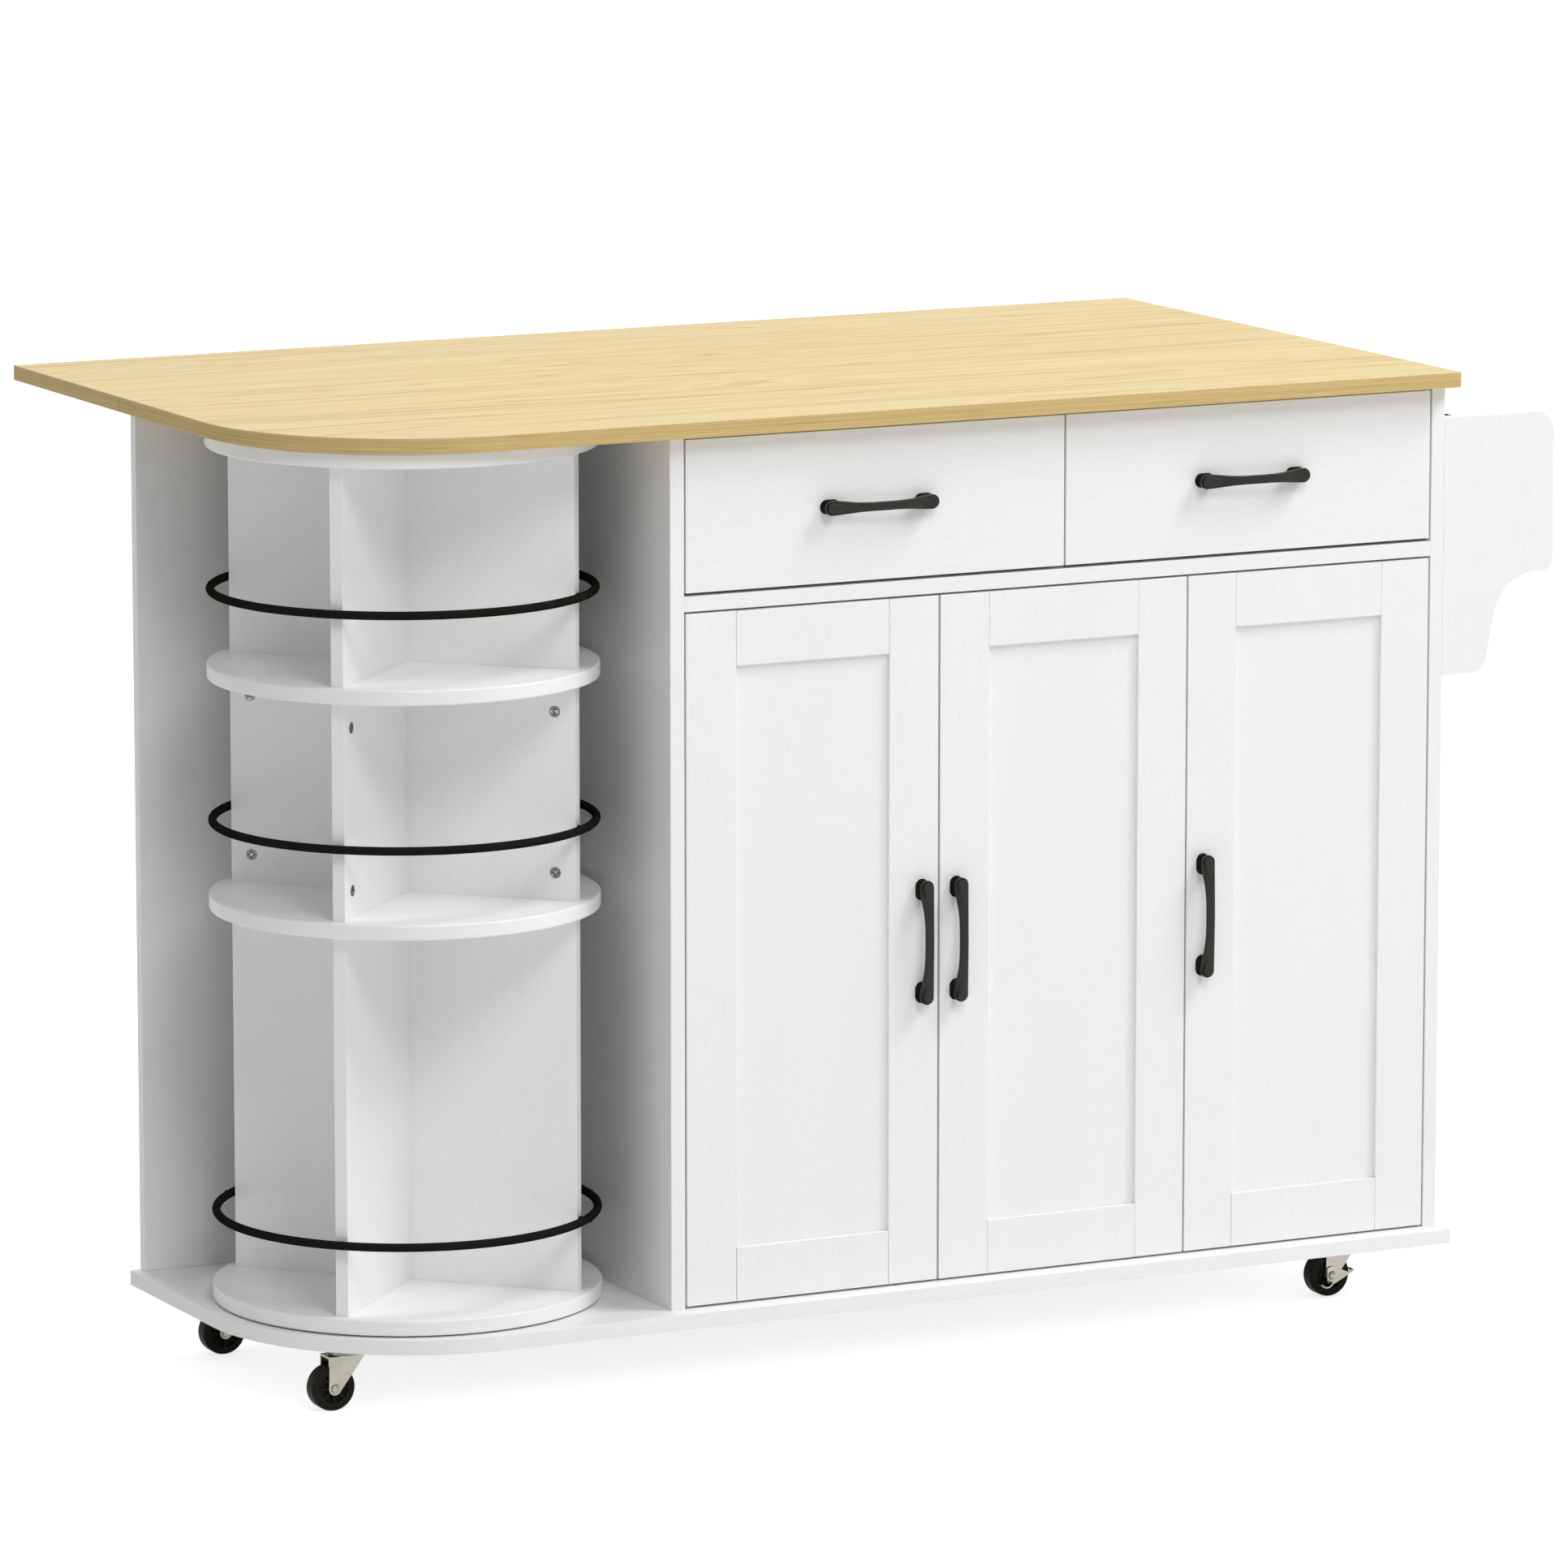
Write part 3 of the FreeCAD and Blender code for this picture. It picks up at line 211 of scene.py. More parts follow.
def lacquer(name, colour, along):
    """White lacquer over a fine pressed grain that runs along one axis."""
    def drawn(across, lengthwise):
        return [lengthwise if axis == along else across for axis in range(3)]

    shader = Shader(name, roughness=0.42, specular=0.4)
    pores = shader.noise(drawn(1100.0, 60.0), detail=2.0, distortion=0.3)
    figure = shader.noise(drawn(9.0, 1.2), detail=3.0, distortion=0.6)
    ridges = shader.noise(drawn(480.0, 5.0), detail=3.0)
    tone = shader.ramp(figure, (0.32, shaded(colour, 0.985)), (0.60, colour))
    lines = shader.ramp(pores, (0.34, (0.94, 0.94, 0.94)), (0.45, UNTINTED))
    shader.colour(shader.multiply(0.6, tone, lines))
    shader.bump(ridges, strength=0.3, distance=0.0002)
    return shader.material


def pale_wood(name, light, dark, across, layers):
    """Wood-grain foil along x: contour lines of a stretched figure, long streaks and fine pores."""
    shader = Shader(name, roughness=0.55, specular=0.2)
    figure = shader.noise((0.8, across, layers), detail=4.0, distortion=1.1)
    streak = shader.noise((1.2, 8 * across, 4 * layers), detail=5.0, distortion=0.3)
    pores = shader.noise((22.0, 70 * across, 900.0), detail=2.0)
    soft = tuple((a * 3 + b) / 4 for a, b in zip(light, dark))
    middle = tuple((a + b) / 2 for a, b in zip(light, dark))
    base = shader.ramp(figure, (0.30, soft), (0.36, light), (0.40, soft), (0.43, light), (0.455, middle),
                       (0.47, light), (0.50, soft), (0.53, light), (0.56, middle), (0.58, light),
                       (0.63, soft), (0.70, light))
    lines = shader.ramp(streak, (0.33, (0.84, 0.78, 0.64)), (0.46, UNTINTED), (0.52, (0.97, 0.95, 0.91)),
                        (0.57, UNTINTED), (0.68, (0.90, 0.86, 0.76)))
    dots = shader.ramp(pores, (0.30, (0.88, 0.84, 0.76)), (0.44, UNTINTED))
    streaked = shader.multiply(1.0, base, lines)
    shader.colour(shader.multiply(0.5, streaked, dots))
    shader.bump(dots, strength=0.2, distance=0.0002)
    return shader.material


def satin_paint(name, colour, roughness, grain, specular=0.2):
    """Sprayed paint with a faint orange peel."""
    shader = Shader(name, roughness, specular=specular)
    shader.mottle(colour, scale=40, detail=3.0, low=0.94, high=1.04)
    shader.bump(shader.noise((grain, grain, grain), detail=2.0), strength=0.12, distance=0.0002)
    return shader.material


def plated(name, colour, roughness):
    """Dull plated steel with faint drawing marks and blotches."""
    shader = Shader(name, roughness, metallic=1.0)
    shader.mottle(colour, scale=55, detail=4.0, low=0.82, high=1.08)
    shader.bump(shader.noise((60, 60, 900), detail=2.0), strength=0.08, distance=0.0001)
    return shader.material


def moulded(name, colour, roughness):
    """Moulded plastic with a fine texture."""
    shader = Shader(name, roughness, specular=0.03)
    shader.mottle(colour, scale=90, detail=2.0, low=0.9, high=1.12)
    shader.bump(shader.noise((1400, 1400, 1400), detail=2.0), strength=0.1, distance=0.0001)
    return shader.material


MATERIALS = {}


def make_materials(colours):
    """Make each finish and keep it under its name."""
    def keep(maker, name, *shades, **settings):
        MATERIALS[name] = maker(name, *shades, **settings)

    keep(lacquer, "white_upright", colours.white, along=2)
    keep(lacquer, "white_level", colours.white, along=0)
    keep(pale_wood, "top_wood", colours.wood_light, colours.wood_dark, across=13.0, layers=13.0)
    keep(pale_wood, "top_edge", colours.edge_light, colours.edge_dark, across=0.4, layers=130.0)
    # black is the rods' and rings' own colour; on the handles it also paints shade on the posts and round the
    # eggs
    keep(satin_paint, "black_metal", colours.black, roughness=0.30, grain=900, specular=0.0)
    keep(satin_paint, "handle_paint", colours.handle, roughness=0.34, grain=900, specular=0.16)
    keep(satin_paint, "white_metal", colours.white, roughness=0.35, grain=700)
    keep(plated, "zinc", colours.zinc, roughness=0.34)
    # zinc darkened to a third paints shade: on the caster plates under the base, round the rivets and on the
    # cam locks
    keep(plated, "dark_zinc", shaded(colours.zinc, 0.3), roughness=0.4)
    keep(plated, "caster_steel", colours.caster_steel, roughness=0.26)
    keep(moulded, "black_plastic", colours.tyre, roughness=0.36)
    keep(moulded, "bushing_plastic", colours.bushing, roughness=0.5)


# Meshes

def linked(mesh, name):
    """An object of a mesh, in the scene."""
    piece = bpy.data.objects.new(name, mesh)
    bpy.context.scene.collection.objects.link(piece)
    return piece


def plain(piece):
    """Bake a piece's modifiers into its mesh."""
    graph = bpy.context.evaluated_depsgraph_get()
    mesh = bpy.data.meshes.new_from_object(piece.evaluated_get(graph), preserve_all_data_layers=True,
                                           depsgraph=graph)
    piece.modifiers.clear()
    piece.data = mesh
    return piece


def creased(work):
    """Smooth faces with sharp edges where they turn."""
    for face in work.faces:
        face.smooth = True
    for edge in work.edges:
        edge.smooth = len(edge.link_faces) == 2 and edge.calc_face_angle() < SHARP


def groups(items, neighbours):
    """Lists of the items that hang together, going from each one to its neighbours."""
    found, seen = [], set()
    for start in items:
        if start in seen:
            continue
        seen.add(start)
        queue, group = [start], []
        while queue:
            item = queue.pop()
            group.append(item)
            for other in neighbours(item):
                if other not in seen:
                    seen.add(other)
                    queue.append(other)
        found.append(group)
    return found


def parted(work):
    """Set solids loose from each other where they only touch."""
    def neighbours(face):
        return [other for edge in face.edges if len(edge.link_faces) == 2 for other in edge.link_faces]

    for group in groups(work.faces, neighbours)[1:]:
        bmesh.ops.split(work, geom=group)


def islands(work):
    """Lists of the vertices of each solid."""
    return groups(work.verts, lambda vertex: [edge.other_vert(vertex) for edge in vertex.link_edges])


def corners(points):
    """Lowest and highest corner of the box round some points."""
    points = list(points)
    return [Vector(edge(point[axis] for point in points) for axis in range(3)) for edge in (min, max)]


def lies_level(low, high):
    """Whether the box between two corners is wider than it is high."""
    return high.x - low.x > high.z - low.z


def opened(work, gap):
    """Shorten the level boards of a frame, so a fine line shows where they meet the upright ones."""
    for members in islands(work):
        low, high = corners(vertex.co for vertex in members)
        if lies_level(low, high):
            for vertex in members:
                vertex.co.x += gap if vertex.co.x - low.x < high.x - vertex.co.x else -gap


def welded(node):
    """A node's mesh for editing, its loose triangles joined at their corners."""
    work = bmesh.new()
    work.from_mesh(NODES[node].data)
    bmesh.ops.remove_doubles(work, verts=work.verts, dist=MERGE)
    return work


def merged(node, gap):
    """A node's mesh with its loose triangles joined into whole faces."""
    work = welded(node)
    parted(work)
    if gap:
        opened(work, gap)
    bmesh.ops.dissolve_limit(work, angle_limit=FLAT, verts=work.verts, edges=work.edges)
    creased(work)
    mesh = NODES[node].data.copy()
    work.to_mesh(mesh)
    work.free()
    mesh.materials.clear()
    return mesh


def lumps(node):
    """Boxes round the separate solids of a node, as pairs of corners."""
    work = welded(node)
    boxes = [corners(vertex.co for vertex in members) for members in islands(work)]
    work.free()
    return boxes


def skinned(work, rings, dark=0):
    """Closed skin over rings of equal count, with a pole at each end.

    The first bands, as many as dark says, get the second material.
    """
    rows = [[work.verts.new(point) for point in ring] for ring in rings]
    count = len(rows[0])
    for band, (first, second) in enumerate(zip(rows, rows[1:])):
        for i in range(count):
            j = (i + 1) % count
            work.faces.new((first[i], first[j], second[j], second[i])).material_index = int(band < dark)
    for row, flip in ((rows[0], True), (rows[-1], False)):
        pole = work.verts.new(sum((vertex.co for vertex in row), Vector()) / count)
        for i in range(count):
            pair = (row[i], row[(i + 1) % count])
            work.faces.new((*(pair[::-1] if flip else pair), pole))


def rounded(piece, edge, segments):
    """Round a piece's sharp edges."""
    if edge:
        bevel = piece.modifiers.new("edge", "BEVEL")
        bevel.width = edge
        bevel.segments = segments
        bevel.limit_method = "ANGLE"
        bevel.angle_limit = SHARP
        bevel.harden_normals = True
        bevel.use_clamp_overlap = True
    return plain(piece)


def finished(piece, body, slot, *nodes):
    """Put a piece on its body, in place of the nodes it stands for. The slot is not used."""
    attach(piece, body)
    if nodes:
        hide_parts(*nodes)
    return piece


def in_place_of(node, piece):
    """Let a piece stand for a node."""
    return finished(piece, BODY_OF[node], SLOT_OF[node], node)


def added_to(node, piece):
    """Put an extra piece on a node's body."""
    return finished(piece, BODY_OF[node], SLOT_OF[node])


def dressed(node, material, edge, segments=2, gap=0.0):
    """Stand-in for a node: same shape, rounded edges and a material."""
    mesh = merged(node, gap)
    mesh.materials.append(MATERIALS[material])
    return in_place_of(node, rounded(linked(mesh, node + "_piece"), edge, segments))


# Handles

HANDLE_HALF = 0.062             # half a handle's length
BAR_STATIONS = (                # share of the half length, half width, back and front of the bar
    (0.0, 0.0044, 0.0150, 0.0196), (0.26, 0.00445, 0.0146, 0.0192), (0.46, 0.0050, 0.0134, 0.0180),
    (0.62, 0.0060, 0.0114, 0.0160), (0.76, 0.0069, 0.0096, 0.0142), (0.88, 0.0072, 0.0090, 0.0136))
BAR_STEPS = 6                   # rings of the bar from each station to the next
PAD_RADIUS = 0.0072             # of the bar's round ends
PAD_TURNS = [math.radians(8 * step) for step in range(1, 12)]
PAD_ROLL = 0.35                 # how far the ends thin out, as a share of half the thickness
BOSS = ((0.0548, 0.0057), (0.0412, 0.0027))     # places along the bar and radii of the egg's two circles
BOSS_STEPS = (                  # how far the egg has shrunk, at its heights over the bar's front
    (-0.0007, -0.0012), (-0.0007, 0.0001), (0.0, 0.0002), (0.0003, 0.0016), (0.0009, 0.0020),
    (0.0022, 0.0021))
BOSS_SHADE_BANDS = 2                   # bands at the foot of the egg's wall in black: a painted shade outline round each egg
POST = ((0.0548, 0.0067), (0.0477, 0.0067))     # the same for the post's two circles
POST_STEPS = ((-0.0005, 0.0), (-0.0002, 0.0006), (0.0, 0.0014), (0.0, 0.0094))
# every band of each post in black: painted shade on the posts' sides
POST_SHADE_BANDS = 3


def eased(rows, steps):
    """Rows of numbers with smooth in-between rows."""
    padded = [rows[0]] + list(rows) + [rows[-1]]
    fine = []
    for a, b, c, d in zip(padded, padded[1:], padded[2:], padded[3:]):
        for step in range(steps):
            t = step / steps
            fine.append([0.5 * (2 * q + (r - p) * t + (2 * p - 5 * q + 4 * r - e) * t * t
                                + (3 * q - p - 3 * r + e) * t ** 3) for p, q, r, e in zip(a, b, c, d)])
    return fine + [list(rows[-1])]


def rounded_section(half_width, back, front, power=4.0, count=32):
    """Points round a box with rounded corners."""
    points = []
    for i in range(count):
        turn = 2 * math.pi * i / count
        c, s = math.cos(turn), math.sin(turn)
        points.append((half_width * math.copysign(abs(c) ** (2 / power), c),
                       (back + front) / 2 + (front - back) / 2 * math.copysign(abs(s) ** (2 / power), s)))
    return points


def lobe(big, small, shrink, count=40):
    """Points round two circles and their tangents, along u and across it."""
    (u_big, r_big), (u_small, r_small) = big, small
    limit = (r_small - r_big) / abs(u_big - u_small)
    points = []
    for i in range(count):
        turn = 2 * math.pi * (i + 0.5) / count
        u, r = (u_big, r_big) if math.cos(turn) > limit else (u_small, r_small)
        points.append((u + (r - shrink) * math.cos(turn), (r - shrink) * math.sin(turn)))
    return points


def handle_mesh(name, middle, along, across, out):
    """Bowed bar with a narrow waist, two pads on oval posts, and a raised egg shape on each pad; the posts
    and the foot of each egg carry painted shade in black.
    """
    work = bmesh.new()

    def place(u, v, w):
        return middle + along * u + across * v + out * w

    stations = [(share * HANDLE_HALF, *rest) for share, *rest in eased(BAR_STATIONS, BAR_STEPS)]
    pad_middle, _, back, front = stations[-1]
    for turn in PAD_TURNS:
        roll = 0.5 * (front - back) * (1 - math.cos(turn)) * PAD_ROLL
        stations.append((pad_middle + PAD_RADIUS * math.sin(turn), PAD_RADIUS * math.cos(turn),
                         back + roll, front - roll))
    half = [[place(u, v, w) for v, w in rounded_section(*rest)] for u, *rest in stations]
    other = [[place(-u, v, w) for v, w in rounded_section(*rest)] for u, *rest in stations[:0:-1]]
    skinned(work, other + half)
    for sign in (-1, 1):
        # the dark bands paint shade: an outline at the foot of each egg and the posts' sides
        for (big, small), steps, base, dark in ((BOSS, BOSS_STEPS, front, BOSS_SHADE_BANDS),
                                                (POST, POST_STEPS, 0.0, POST_SHADE_BANDS)):
            skinned(work, [[place(sign * u, sign * v, base + w) for u, v in lobe(big, small, shrink)]
                           for shrink, w in steps], dark)
    bmesh.ops.recalc_face_normals(work, faces=work.faces)
    creased(work)
    mesh = bpy.data.meshes.new(name)
    work.to_mesh(mesh)
    work.free()
    return mesh


# Geometry Nodes

HEAD_SHARES = (0.55, 0.9, 0.2)  # of a screw head's radius: its top, and its cross's length and width
RING_SINK = -0.0015             # from the axle's ends to the rings round its rivets
BRAKED_RING_SINK = -0.0018


class Recipe:
    """A Geometry Nodes tree under construction, with named sizes."""

    def __init__(self, name, **sizes):
        self.tree = bpy.data.node_groups.new(name, "GeometryNodeTree")
        face = self.tree.interface
        face.new_socket("Geometry", in_out="INPUT", socket_type="NodeSocketGeometry")
        for label, value in sizes.items():
            socket = face.new_socket(label, in_out="INPUT", socket_type="NodeSocketFloat")
            socket.default_value = value
        face.new_socket("Geometry", in_out="OUTPUT", socket_type="NodeSocketGeometry")
        self.entry = self.tree.nodes.new("NodeGroupInput")
        self.points = self.entry.outputs["Geometry"]

    def size(self, label):
        return self.entry.outputs[label]

    def add(self, kind, *links, **values):
        """Add a node. Links are pairs of an input's name or place and the output or value that feeds it."""
        node = self.tree.nodes.new(kind)
        for key, value in values.items():
            setattr(node, key, value)
        for entry, source in links:
            if isinstance(source, bpy.types.NodeSocket):
                self.tree.links.new(source, node.inputs[entry])
            else:
                node.inputs[entry].default_value = source
        return node.outputs[0]

    def maths(self, operation, first, second):
        return self.add("ShaderNodeMath", (0, first), (1, second), operation=operation)

    def vector(self, x, y, z):
        return self.add("ShaderNodeCombineXYZ", ("X", x), ("Y", y), ("Z", z))

    def facing(self):
        """Turn that brings z onto the seed points' own direction."""
        way = self.add("GeometryNodeInputNamedAttribute", ("Name", "facing"), data_type="FLOAT_VECTOR")
        return self.add("FunctionNodeAlignRotationToVector", ("Vector", way), axis="Z")

    def outward(self):
        """Turn that brings z onto the direction away from the middle."""
        return self.add("FunctionNodeAlignRotationToVector",
                        ("Vector", self.add("GeometryNodeInputPosition")), axis="Z")

    def spread(self, points, shape, turn=None):
        """The shape on every point."""
        links = [("Points", points), ("Instance", shape)] + ([("Rotation", turn)] if turn else [])
        return self.add("GeometryNodeInstanceOnPoints", *links)

    def moved(self, shape, height):
        """The shape moved along z."""
        return self.add("GeometryNodeTransform", ("Geometry", shape),
                        ("Translation", self.vector(0.0, 0.0, height)))

    def dome(self, radius, height):
        """A ball pressed flat."""
        ball = self.add("GeometryNodeMeshUVSphere", ("Segments", 16), ("Rings", 8), ("Radius", 1.0))
        return self.add("GeometryNodeTransform", ("Geometry", ball),
                        ("Scale", self.vector(radius, radius, height)))

    def hoop(self, radius, bar, around, across):
        """A round bar bent to a circle. The last two are its corners around and across."""
        path = self.add("GeometryNodeCurvePrimitiveCircle", ("Resolution", around), ("Radius", radius))
        section = self.add("GeometryNodeCurvePrimitiveCircle", ("Resolution", across), ("Radius", bar))
        return self.add("GeometryNodeCurveToMesh", ("Curve", path), ("Profile Curve", section))

    def together(self, *shapes):
        node = self.tree.nodes.new("GeometryNodeJoinGeometry")
        for shape in shapes:
            self.tree.links.new(shape, node.inputs[0])
        return node.outputs[0]

    def close(self, shape, material, smooth=True):
        """End the tree with a plain mesh in one finish."""
        shape = self.add("GeometryNodeRealizeInstances", ("Geometry", shape))
        shape = self.add("GeometryNodeSetShadeSmooth", ("Geometry", shape), ("Shade Smooth", smooth))
        shape = self.add("GeometryNodeSetMaterial", ("Geometry", shape), ("Material", MATERIALS[material]))
        last = self.tree.nodes.new("NodeGroupOutput")
        self.tree.links.new(shape, last.inputs["Geometry"])
        return self


def grown(name, recipe, seeds, **sizes):
    """Mesh that a tree grows on seed points, each a place and a direction."""
    mesh = bpy.data.meshes.new(name)
    mesh.from_pydata([place for place, way in seeds], [], [])
    facing = mesh.attributes.new("facing", "FLOAT_VECTOR", "POINT")
    for entry, (place, way) in zip(facing.data, seeds):
        entry.vector = way
    piece = linked(mesh, name)
    modifier = piece.modifiers.new("grow", "NODES")
    modifier.node_group = recipe.tree
    for item in recipe.tree.interface.items_tree:
        if item.name in sizes:
            modifier[item.identifier] = sizes[item.name]
    return plain(piece)


def screw_recipe():
    """Screw heads with a cross recess."""
    recipe = Recipe("screw_heads", radius=0.004, height=0.0012)
    radius, height = recipe.size("radius"), recipe.size("height")
    top, long_side, short_side = [recipe.maths("MULTIPLY", radius, share) for share in HEAD_SHARES]
    head = recipe.add("GeometryNodeMeshCone", ("Vertices", 20), ("Radius Top", top),
                      ("Radius Bottom", radius), ("Depth", height))
    slots = recipe.together(*(recipe.add("GeometryNodeMeshCube", ("Size", recipe.vector(a, b, height)))
                              for a, b in ((long_side, short_side), (short_side, long_side))))
    cut = recipe.add("GeometryNodeMeshBoolean", ("Mesh 1", head), ("Mesh 2", recipe.moved(slots, height)),
                     operation="DIFFERENCE")
    return recipe.close(recipe.spread(recipe.points, cut, recipe.facing()), "zinc", smooth=False)


def ring_recipe():
    """Guard rings, each on four posts with a domed screw head outside."""
    recipe = Recipe("guard_rings", ring=0.1866, rod=0.0042, post=0.0026, reach=0.0086, turn=0.785,
                    head=0.0032, dome=0.0014)
    ring, rod, reach = [recipe.size(label) for label in ("ring", "rod", "reach")]

    def quarter(radius, shape):
        """The shape at four places round a circle, turned outwards."""
        square = recipe.add("GeometryNodeMeshCircle", ("Vertices", 4), ("Radius", radius))
        turned = recipe.add("GeometryNodeTransform", ("Geometry", square),
                            ("Rotation", recipe.vector(0.0, 0.0, recipe.size("turn"))))
        return recipe.spread(turned, shape, recipe.outward())

    stem = recipe.add("GeometryNodeMeshCylinder", ("Vertices", 16), ("Radius", recipe.size("post")),
                      ("Depth", reach))
    stems = quarter(recipe.maths("SUBTRACT", ring, recipe.maths("MULTIPLY", reach, 0.5)), stem)
    heads = quarter(recipe.maths("ADD", ring, rod), recipe.dome(recipe.size("head"), recipe.size("dome")))
    rings = recipe.together(recipe.hoop(ring, rod, 160, 16), stems, heads)
    return recipe.close(recipe.spread(recipe.points, rings), "black_metal")


def rivet_recipe():
    """Domed rivet heads."""
    recipe = Recipe("rivets", head=0.0031, dome=0.0010)
    dome = recipe.dome(recipe.size("head"), recipe.size("dome"))
    return recipe.close(recipe.spread(recipe.points, dome, recipe.facing()), "caster_steel")


def rivet_ring_recipe():
    """Dark beads round the rivets, a painted shade outline round each rivet head."""
    recipe = Recipe("rivet_rings", ring=0.0041, bead=0.0005, sink=RING_SINK)
    bead = recipe.hoop(recipe.size("ring"), recipe.size("bead"), 40, 8)
    sunk = recipe.moved(bead, recipe.size("sink"))
    return recipe.close(recipe.spread(recipe.points, sunk, recipe.facing()), "dark_zinc")


class IslandOperator:
    """Shared settings of the operators that build pieces."""
    bl_options = {"REGISTER", "UNDO"}

    @property
    def boards(self):
        return bpy.context.scene.island_boards

    @property
    def colours(self):
        return bpy.context.scene.island_colours


class ISLAND_OT_materials(IslandOperator, bpy.types.Operator):
    """Make the finishes"""
    bl_idname = "island.materials"
    bl_label = "Finishes"

    def execute(self, context):
        make_materials(self.colours)
        return {"FINISHED"}


class ISLAND_OT_carcass(IslandOperator, bpy.types.Operator):
    """Dress the fixed boards"""
    bl_idname = "island.carcass"
    bl_label = "Carcass boards"

    def execute(self, context):
        for node in ("left_side_panel", "right_side_panel", "centre_divider", "drawer_divider",
                     "cabinet_back", "bay_back_panel"):
            dressed(node, "white_upright", self.boards.edge)
        for node in ("base_board", "drawer_partition", "shelves"):
            dressed(node, "white_level", self.boards.edge)
        return {"FINISHED"}


class ISLAND_OT_tops(IslandOperator, bpy.types.Operator):
    """Dress the worktop and the drop leaf"""
    bl_idname = "island.tops"
    bl_label = "Worktop and leaf"

    def execute(self, context):
        for node in ("worktop", "leaf_board"):
            piece = dressed(node, "top_wood", self.boards.top_edge)
            piece.data.materials.append(MATERIALS["top_edge"])
            for face in piece.data.polygons:
                face.material_index = 0 if abs(face.normal.z) > LEVEL_RISE else 1
        return {"FINISHED"}


class ISLAND_OT_doors(IslandOperator, bpy.types.Operator):
    """Dress the three doors"""
    bl_idname = "island.doors"
    bl_label = "Doors"

    def execute(self, context):
        for door in DOORS:
            dressed(door + "_frame", "white_upright", self.boards.door_edge, gap=self.boards.joint)
            dressed(door + "_panel", "white_upright", 0)
        return {"FINISHED"}


class ISLAND_OT_drawers(IslandOperator, bpy.types.Operator):
    """Dress the two drawers"""
    bl_idname = "island.drawers"
    bl_label = "Drawers"

    def execute(self, context):
        for drawer in DRAWERS:
            for part in ("_front", "_box"):
                dressed(drawer + part, "white_level", self.boards.edge)
        return {"FINISHED"}


class ISLAND_OT_handles(IslandOperator, bpy.types.Operator):
    """Dress the five handles"""
    bl_idname = "island.handles"
    bl_label = "Handles"

    def execute(self, context):
        for owner in DOORS + DRAWERS:
            node = owner + "_handle"
            (low, high), = lumps(node)
            middle = (low + high) / 2
            middle.y = high.y
            along, across = (RIGHT, UP) if lies_level(low, high) else (UP, RIGHT)
            mesh = handle_mesh(node + "_piece", middle, along, across, FORWARD)
            # the second finish is black that paints shade on the posts and round the eggs
            for finish in ("handle_paint", "black_metal"):
                mesh.materials.append(MATERIALS[finish])
            in_place_of(node, linked(mesh, node + "_piece"))
        return {"FINISHED"}


CAP_CORNERS = 8                 # a cam lock's round face has more corners than this
CAM_CROSS = {"radius": 0.0040, "height": 0.0004}


class ISLAND_OT_tower(IslandOperator, bpy.types.Operator):
    """Dress the turning shelf tower"""
    bl_idname = "island.tower"
    bl_label = "Shelf tower"

    def cam_seeds(self, mesh):
        """Middles of the cam locks' round faces that look away from the tower's axis."""
        (low, high), = lumps("tower_pivot_pin")
        axis = (low + high) / 2
        axis.z = 0.0
        return [(face.center.copy(), face.normal.copy()) for face in mesh.polygons
                if len(face.vertices) > CAP_CORNERS and face.normal.dot(face.center - axis) > 0]

    def execute(self, context):
        dressed("tower_discs", "white_level", self.boards.disc_edge, segments=4)
        dressed("tower_panels", "white_upright", self.boards.panel_edge, segments=3)
        seeds = [((low + high) / 2, UP) for low, high in lumps("tower_guard_rings")]
        in_place_of("tower_guard_rings", grown("tower_guard_rings_piece", ring_recipe(), seeds))
        for node in ("tower_pivot_pin", "turntable_upper_ring", "turntable_lower_ring"):
            dressed(node, "zinc", self.boards.metal_edge)
        # the cam locks' darkened zinc is painted shade: their dark outline and the shade under the discs
        cams = dressed("tower_cam_locks", "dark_zinc", self.boards.metal_edge)
        crosses = grown("cam_crosses", screw_recipe(), self.cam_seeds(cams.data), **CAM_CROSS)
        added_to("tower_cam_locks", crosses)
        dressed("pivot_bushing", "bushing_plastic", self.boards.metal_edge)
        return {"FINISHED"}


class ISLAND_OT_rack(IslandOperator, bpy.types.Operator):
    """Dress the side rack"""
    bl_idname = "island.rack"
    bl_label = "Side rack"

    def execute(self, context):
        dressed("rack_boards", "white_upright", self.boards.edge)
        dressed("rack_rods", "black_metal", self.boards.metal_edge)
        return {"FINISHED"}


class ISLAND_OT_brackets(IslandOperator, bpy.types.Operator):
    """Dress the leaf's folding brackets"""
    bl_idname = "island.brackets"
    bl_label = "Leaf brackets"

    def execute(self, context):
        for node in ("bracket_wall_rails", "leaf_bracket_arms", "leaf_stay_lower_links",
                     "leaf_stay_upper_links"):
            dressed(node, "white_metal", self.boards.metal_edge)
        return {"FINISHED"}


class ISLAND_OT_hardware(IslandOperator, bpy.types.Operator):
    """Dress the runners, hinges and shelf pins"""
    bl_idname = "island.hardware"
    bl_label = "Runners and hinges"

    def execute(self, context):
        for node in ("drawer_slide_rails", "hinge_arms", "shelf_pins", "left_drawer_runners",
                     "right_drawer_runners"):
            dressed(node, "zinc", self.boards.metal_edge)
        for door in DOORS:
            dressed(door + "_hinge_cups", "zinc", self.boards.metal_edge)
        return {"FINISHED"}


